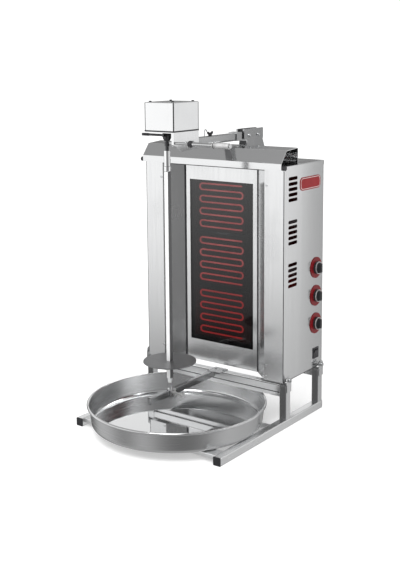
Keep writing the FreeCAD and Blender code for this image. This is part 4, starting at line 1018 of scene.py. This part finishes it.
@dataclass
class DriveHead:
    """Drive head with its cover, handle, lift lever and the arm that carries it."""

    # Sizes of the dark ring of painted shadow under the cover's lower edge.
    shadow_line_proud: float = 0.0007
    shadow_line_wall: float = 0.0012
    shadow_line_height: float = 0.0042
    shadow_line_drop: float = 0.0006
    # Sizes of the dark strips of painted reflection on the cover's corners.
    reflection_width: float = 0.0030
    reflection_proud: float = 0.0002
    reflection_overlap: float = 0.0008
    reflection_drop: float = 0.0012
    reflection_edge: float = 0.0008
    strip_depth: float = 0.0032
    strip_inset: float = 0.0005
    strip_start: float = 0.04
    strip_edge: float = 0.0006
    collar_set: float = 0.004
    collar_length: float = 0.0022
    collar_proud: float = 0.0003
    collar_wall: float = 0.0012

    def dress(self) -> None:
        """Dresses the head and its arm."""
        COVER.dress("head_cover", "head_base")
        SATIN.dress("handle_grip")
        CHROME.dress("shaft_bearings")
        ROD.dress("handle_rod", "cable_hook")
        BLACK.dress("ball_knob", "lever_tip", "lock_knob", "head_screws")
        # The bearing housing's dark colour is painted shade under the head.
        DARK_STEEL.dress("bearing_housing", "lift_lever", "slide_bar", "drive_shaft")
        ALLOY.dress("gear_motor")
        BRASS.dress("motor_pinion", "output_gear")
        ARM_STEEL.dress("upper_arm", "arm_clamp", "rear_bracket", "pedestal")
        ZINC.dress("arm_bolts", "bracket_bolts")

    def build_cover_shadow(self) -> None:
        """Builds the dark ring of painted shadow along the cover's lower edge."""
        low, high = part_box("head_cover")
        out, z0 = self.shadow_line_proud, low[2] - self.shadow_line_drop
        ring = slab((low[0] - out, low[1] - out, z0),
                    (high[0] + out, high[1] + out, z0 + self.shadow_line_height))
        hollow(ring, self.shadow_line_wall, axis=2)
        settle(ring, "cover_shadow_line", "head", BLACK)

    def build_corner_reflections(self) -> None:
        """Builds dark strips of painted reflection on the cover's four upright corners."""
        low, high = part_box("head_cover")
        z0, z1 = low[2] + self.shadow_line_height - self.reflection_overlap, high[2] - self.reflection_drop
        wide, out = self.reflection_width, self.reflection_proud
        corners = [(x, sx, y, sy) for x, sx in ((low[0], 1), (high[0], -1))
                   for y, sy in ((low[1], 1), (high[1], -1))]
        for count, (x, sx, y, sy) in enumerate(corners, 1):
            x0, x1 = sorted((x - sx * out, x + sx * wide))
            y0, y1 = sorted((y - sy * out, y + sy * wide))
            dark_reflection = slab((x0, y0, z0), (x1, y1, z1), self.reflection_edge)
            settle(dark_reflection, f"cover_corner_reflection_{count}", "head", BLACK)

    def build_arm_shade(self) -> None:
        """Builds a dark strip of painted shade under the upper arm."""
        low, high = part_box("upper_arm")
        strip = slab((low[0] + self.strip_inset, low[1] + self.strip_start,
                      low[2] - self.strip_depth),
                     (high[0] - self.strip_inset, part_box("arm_clamp")[0][1], low[2]),
                     self.strip_edge)
        settle(strip, "arm_shade_strip", "head", ARM_SHADE_STEEL)

    def build_grip_collar(self) -> None:
        """Turns the dark collar at the inner end of the handle's grip."""
        y, z, radius = hub("handle_grip")
        ring = turned_ring((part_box("handle_grip")[0][0] + self.collar_set, y, z),
                           radius + self.collar_proud, self.collar_length, self.collar_wall)
        settle(ring, "grip_collar", "grip", BLACK)

    def build(self) -> None:
        """Dresses the head and adds its trim, with dark strips of painted shadow, shade and
        reflection.
        """
        self.dress()
        self.build_cover_shadow()
        self.build_corner_reflections()
        self.build_arm_shade()
        self.build_grip_collar()


# Studio and camera


@dataclass(frozen=True)
class Dimming:
    """Part of the surround that mirrored rays see darker, between two cosines of its direction."""

    towards: Triple
    tone: float
    cosines: Pair
    ceiling: Pair | None = None

    def tones(self, walls: NodeSheet, ray: Socket, height: Socket) -> Socket:
        """Works out its tone in each direction.

        Args:
            walls: Node tree of the surround.
            ray: Direction that is looked up.
            height: The direction's upward part.

        Returns:
            The tone.
        """
        facing = walls.node("ShaderNodeVectorMath", {0: ray, 1: self.towards},
                            operation="DOT_PRODUCT").outputs["Value"]
        tone = walls.span(facing, self.cosines, 1.0, self.tone, "SMOOTHSTEP")
        if self.ceiling:
            above = walls.span(height, self.ceiling, interpolation="SMOOTHSTEP")
            tone = walls.maths("MAXIMUM", tone, above)
        return tone


@dataclass
class Studio:
    """Plain white studio: pale floor, even light, and walls that bare metal mirrors shaded."""

    floor_half: float = 9.0
    floor_drop: float = 0.0004
    floor_colour: Colour = (0.80, 0.80, 0.80)
    floor_mottle: float = 0.985
    floor_glow: float = 0.30
    ambient: float = 1.16
    heights: tuple[Pair, ...] = ((-1.0, 0.40), (-0.46, 0.55), (-0.30, 0.80), (-0.22, 1.02),
                                 (-0.10, 1.22), (0.12, 1.25), (0.36, 0.85), (0.68, 0.36),
                                 (1.0, 0.45))
    front: Dimming = Dimming((0.722, -0.692, 0.0), 0.20, (0.45, 0.93))
    side: Dimming = Dimming((0.594, 0.804, 0.0), 0.78, (0.75, 0.96))
    back: Dimming = Dimming((-0.594, 0.804, 0.0), 0.15, (0.45, 0.85), (0.16, 0.34))
    low: Dimming = Dimming((-0.574, -0.819, 0.0), 0.22, (0.78, 0.90), (-0.315, -0.24))
    weave: float = 0.1
    flag_size: Pair = (1.6, 4.8)
    flag_distance: float = 1.5
    flag_edge: float = -0.05
    flag_height: float = 0.5
    flag_tone: float = 0.42
    card_x: Pair = (-0.30, 0.06)
    card_y: Pair = (-0.14, 0.07)
    card_z: float = 0.105
    card_tone: float = 0.10
    leg_card_size: Pair = (0.044, 0.124)
    leg_card_x: Pair = (0.244, -0.282)
    leg_card_y: Pair = (0.086, 0.284)
    leg_card_z: float = 0.063
    lamp_size: float = 2.0
    lamp_energy: float = 60.0
    lamp_place: Triple = (0.6, -2.0, 3.2)
    lamp_aim: Triple = (0.0, 0.0, 0.4)

    def build_floor(self) -> None:
        """Lays the floor."""
        clear_selection()
        bpy.ops.mesh.primitive_plane_add(size=2 * self.floor_half,
                                         location=(0, 0, -self.floor_drop))
        floor = bpy.context.object
        floor.name = "studio_floor"
        floor.visible_glossy = False
        sketch = Sketch("studio_floor_paint")
        cloud = sketch.span(sketch.noise(sketch.place, scale=0.8), Band.MOST)
        colour = sketch.blend(cloud, self.floor_colour, shade(self.floor_colour, self.floor_mottle))
        sketch.surface(Base_Color=colour, Roughness=0.9, Specular_IOR_Level=0.0,
                       Emission_Color=(1.0, 1.0, 1.0), Emission_Strength=self.floor_glow)
        floor.data.materials.append(sketch.material)

    def hang_cloth(self, name: str, centre: Triple, size: Pair, turn: Triple, tone: float) -> None:
        """Hangs a plain cloth that only metal mirrors, and only from its front.

        Args:
            name: Its name.
            centre: Its middle.
            size: Its width and height.
            turn: Its rotation in radians.
            tone: Brightness of its face.
        """
        clear_selection()
        bpy.ops.mesh.primitive_plane_add(size=1.0, location=centre, rotation=turn)
        cloth = bpy.context.object
        cloth.name = name
        cloth.scale = (*size, 1.0)
        for kind in ("camera", "diffuse", "shadow", "transmission"):
            setattr(cloth, f"visible_{kind}", False)
        sketch = Sketch(name)
        weave = sketch.vary(sketch.noise(sketch.place, scale=300.0), tone, tone * self.weave)
        rear = sketch.node("ShaderNodeNewGeometry").outputs["Backfacing"]
        sketch.close(sketch.mix(rear, sketch.step("ShaderNodeEmission", {"Strength": weave}),
                                sketch.step("ShaderNodeBsdfTransparent", {})))
        cloth.data.materials.append(sketch.material)

    def build_cloths(self) -> None:
        """Hangs a tall dark cloth to the right rear, and small ones below the cabinet."""
        ahead = Vector(self.side.towards)
        aside = Vector((ahead.y, -ahead.x, 0.0))
        middle = ahead * self.flag_distance + aside * (self.flag_edge - self.flag_size[0] / 2)
        self.hang_cloth("studio_flag", (middle.x, middle.y, self.flag_height), self.flag_size,
                        (QUARTER_TURN, 0.0, math.atan2(aside.y, aside.x)), self.flag_tone)
        for i, x in enumerate(self.leg_card_x):
            for k, y in enumerate(self.leg_card_y):
                self.hang_cloth(f"studio_leg_card_{i}_{k}", (x, y, self.leg_card_z),
                                self.leg_card_size, (-QUARTER_TURN, 0.0, 0.0), self.card_tone)
        (x0, x1), (y0, y1) = self.card_x, self.card_y
        self.hang_cloth("studio_card", ((x0 + x1) / 2, (y0 + y1) / 2, self.card_z),
                        (x1 - x0, y1 - y0), (0.0, 0.0, 0.0), self.card_tone)

    def build_walls(self) -> None:
        """Makes the surround: white to the eye and to matt surfaces, shaded to mirrored rays."""
        world = bpy.data.worlds.new("studio_walls")
        bpy.context.scene.world = world
        walls = NodeSheet(world)
        ray = walls.node("ShaderNodeTexCoord").outputs["Generated"]
        height = walls.part(ray, 2)
        rise = walls.node("ShaderNodeValToRGB", {0: walls.span(height, (-1.0, 1.0))})
        stops = rise.color_ramp.elements
        while len(stops) < len(self.heights):
            stops.new(0.5)
        for stop, (where, tone) in zip(stops, self.heights):
            stop.position, stop.color = (where + 1) / 2, (tone, tone, tone, 1)
        shaded = rise.outputs[0]
        for dimming in (self.front, self.side, self.back, self.low):
            tone = dimming.tones(walls, ray, height)
            shaded = walls.step("ShaderNodeVectorMath", {0: shaded, "Scale": tone},
                                operation="SCALE")
        mirrored = walls.step("ShaderNodeBackground", {"Color": shaded})
        even = walls.step("ShaderNodeBackground", {"Color": (self.ambient,) * 3})
        glossy = walls.node("ShaderNodeLightPath").outputs["Is Glossy Ray"]
        walls.node("ShaderNodeOutputWorld", {"Surface": walls.mix(glossy, even, mirrored)})

    def build_lamp(self) -> None:
        """Hangs one broad soft lamp high in front."""
        lamp = bpy.data.lights.new("soft_box", "AREA")
        lamp.shape = "RECTANGLE"
        lamp.size, lamp.size_y, lamp.energy = self.lamp_size, self.lamp_size, self.lamp_energy
        holder = bpy.data.objects.new("soft_box", lamp)
        bpy.context.scene.collection.objects.link(holder)
        holder.location = self.lamp_place
        aim = Vector(self.lamp_aim) - Vector(self.lamp_place)
        holder.rotation_euler = aim.to_track_quat("-Z", "Y").to_euler()

    def build(self) -> None:
        """Builds the floor, the walls, the cloths and the lamp."""
        self.build_floor()
        self.build_walls()
        self.build_cloths()
        self.build_lamp()


@dataclass
class Camera:
    """Camera slightly above the object, to its front right."""

    place: Triple = (1.753, -2.325, 1.121)
    yaw: float = 36.44
    pitch: float = 8.23
    roll: float = -0.43
    lens: float = 61.19
    sensor: float = 36.0
    shift_y: float = -0.149
    clip: Pair = (0.05, 60.0)

    def build(self) -> None:
        """Makes the camera and hands it to the scene."""
        yaw, pitch, roll = (math.radians(v) for v in (self.yaw, self.pitch, self.roll))
        level = Vector((math.cos(yaw), math.sin(yaw), 0.0))
        ahead = Vector((-math.sin(yaw) * math.cos(pitch), math.cos(yaw) * math.cos(pitch),
                        -math.sin(pitch)))
        upright = level.cross(ahead)
        right = math.cos(roll) * level + math.sin(roll) * upright
        up = math.cos(roll) * upright - math.sin(roll) * level
        data = bpy.data.cameras.new("studio_camera")
        data.sensor_width, data.lens, data.shift_y = self.sensor, self.lens, self.shift_y
        data.clip_start, data.clip_end = self.clip
        camera = bpy.data.objects.new("studio_camera", data)
        bpy.context.scene.collection.objects.link(camera)
        turn = Matrix((right, up, -ahead)).transposed().to_4x4()
        camera.matrix_world = Matrix.Translation(self.place) @ turn
        bpy.context.scene.camera = camera


def main() -> None:
    """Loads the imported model, dresses it, and sets up the studio and the camera."""
    logging.basicConfig(level=logging.INFO, format="%(name)s: %(message)s")
    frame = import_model()
    PARTS.update(frame["nodes"])
    for assembly in (FloorFrame(), Cabinet(), Controls(), DripTray(), Spit(), DriveHead(),
                     Studio(), Camera()):
        assembly.build()
    bpy.context.scene.view_settings.view_transform = "Standard"


if __name__ == "__main__":
    main()
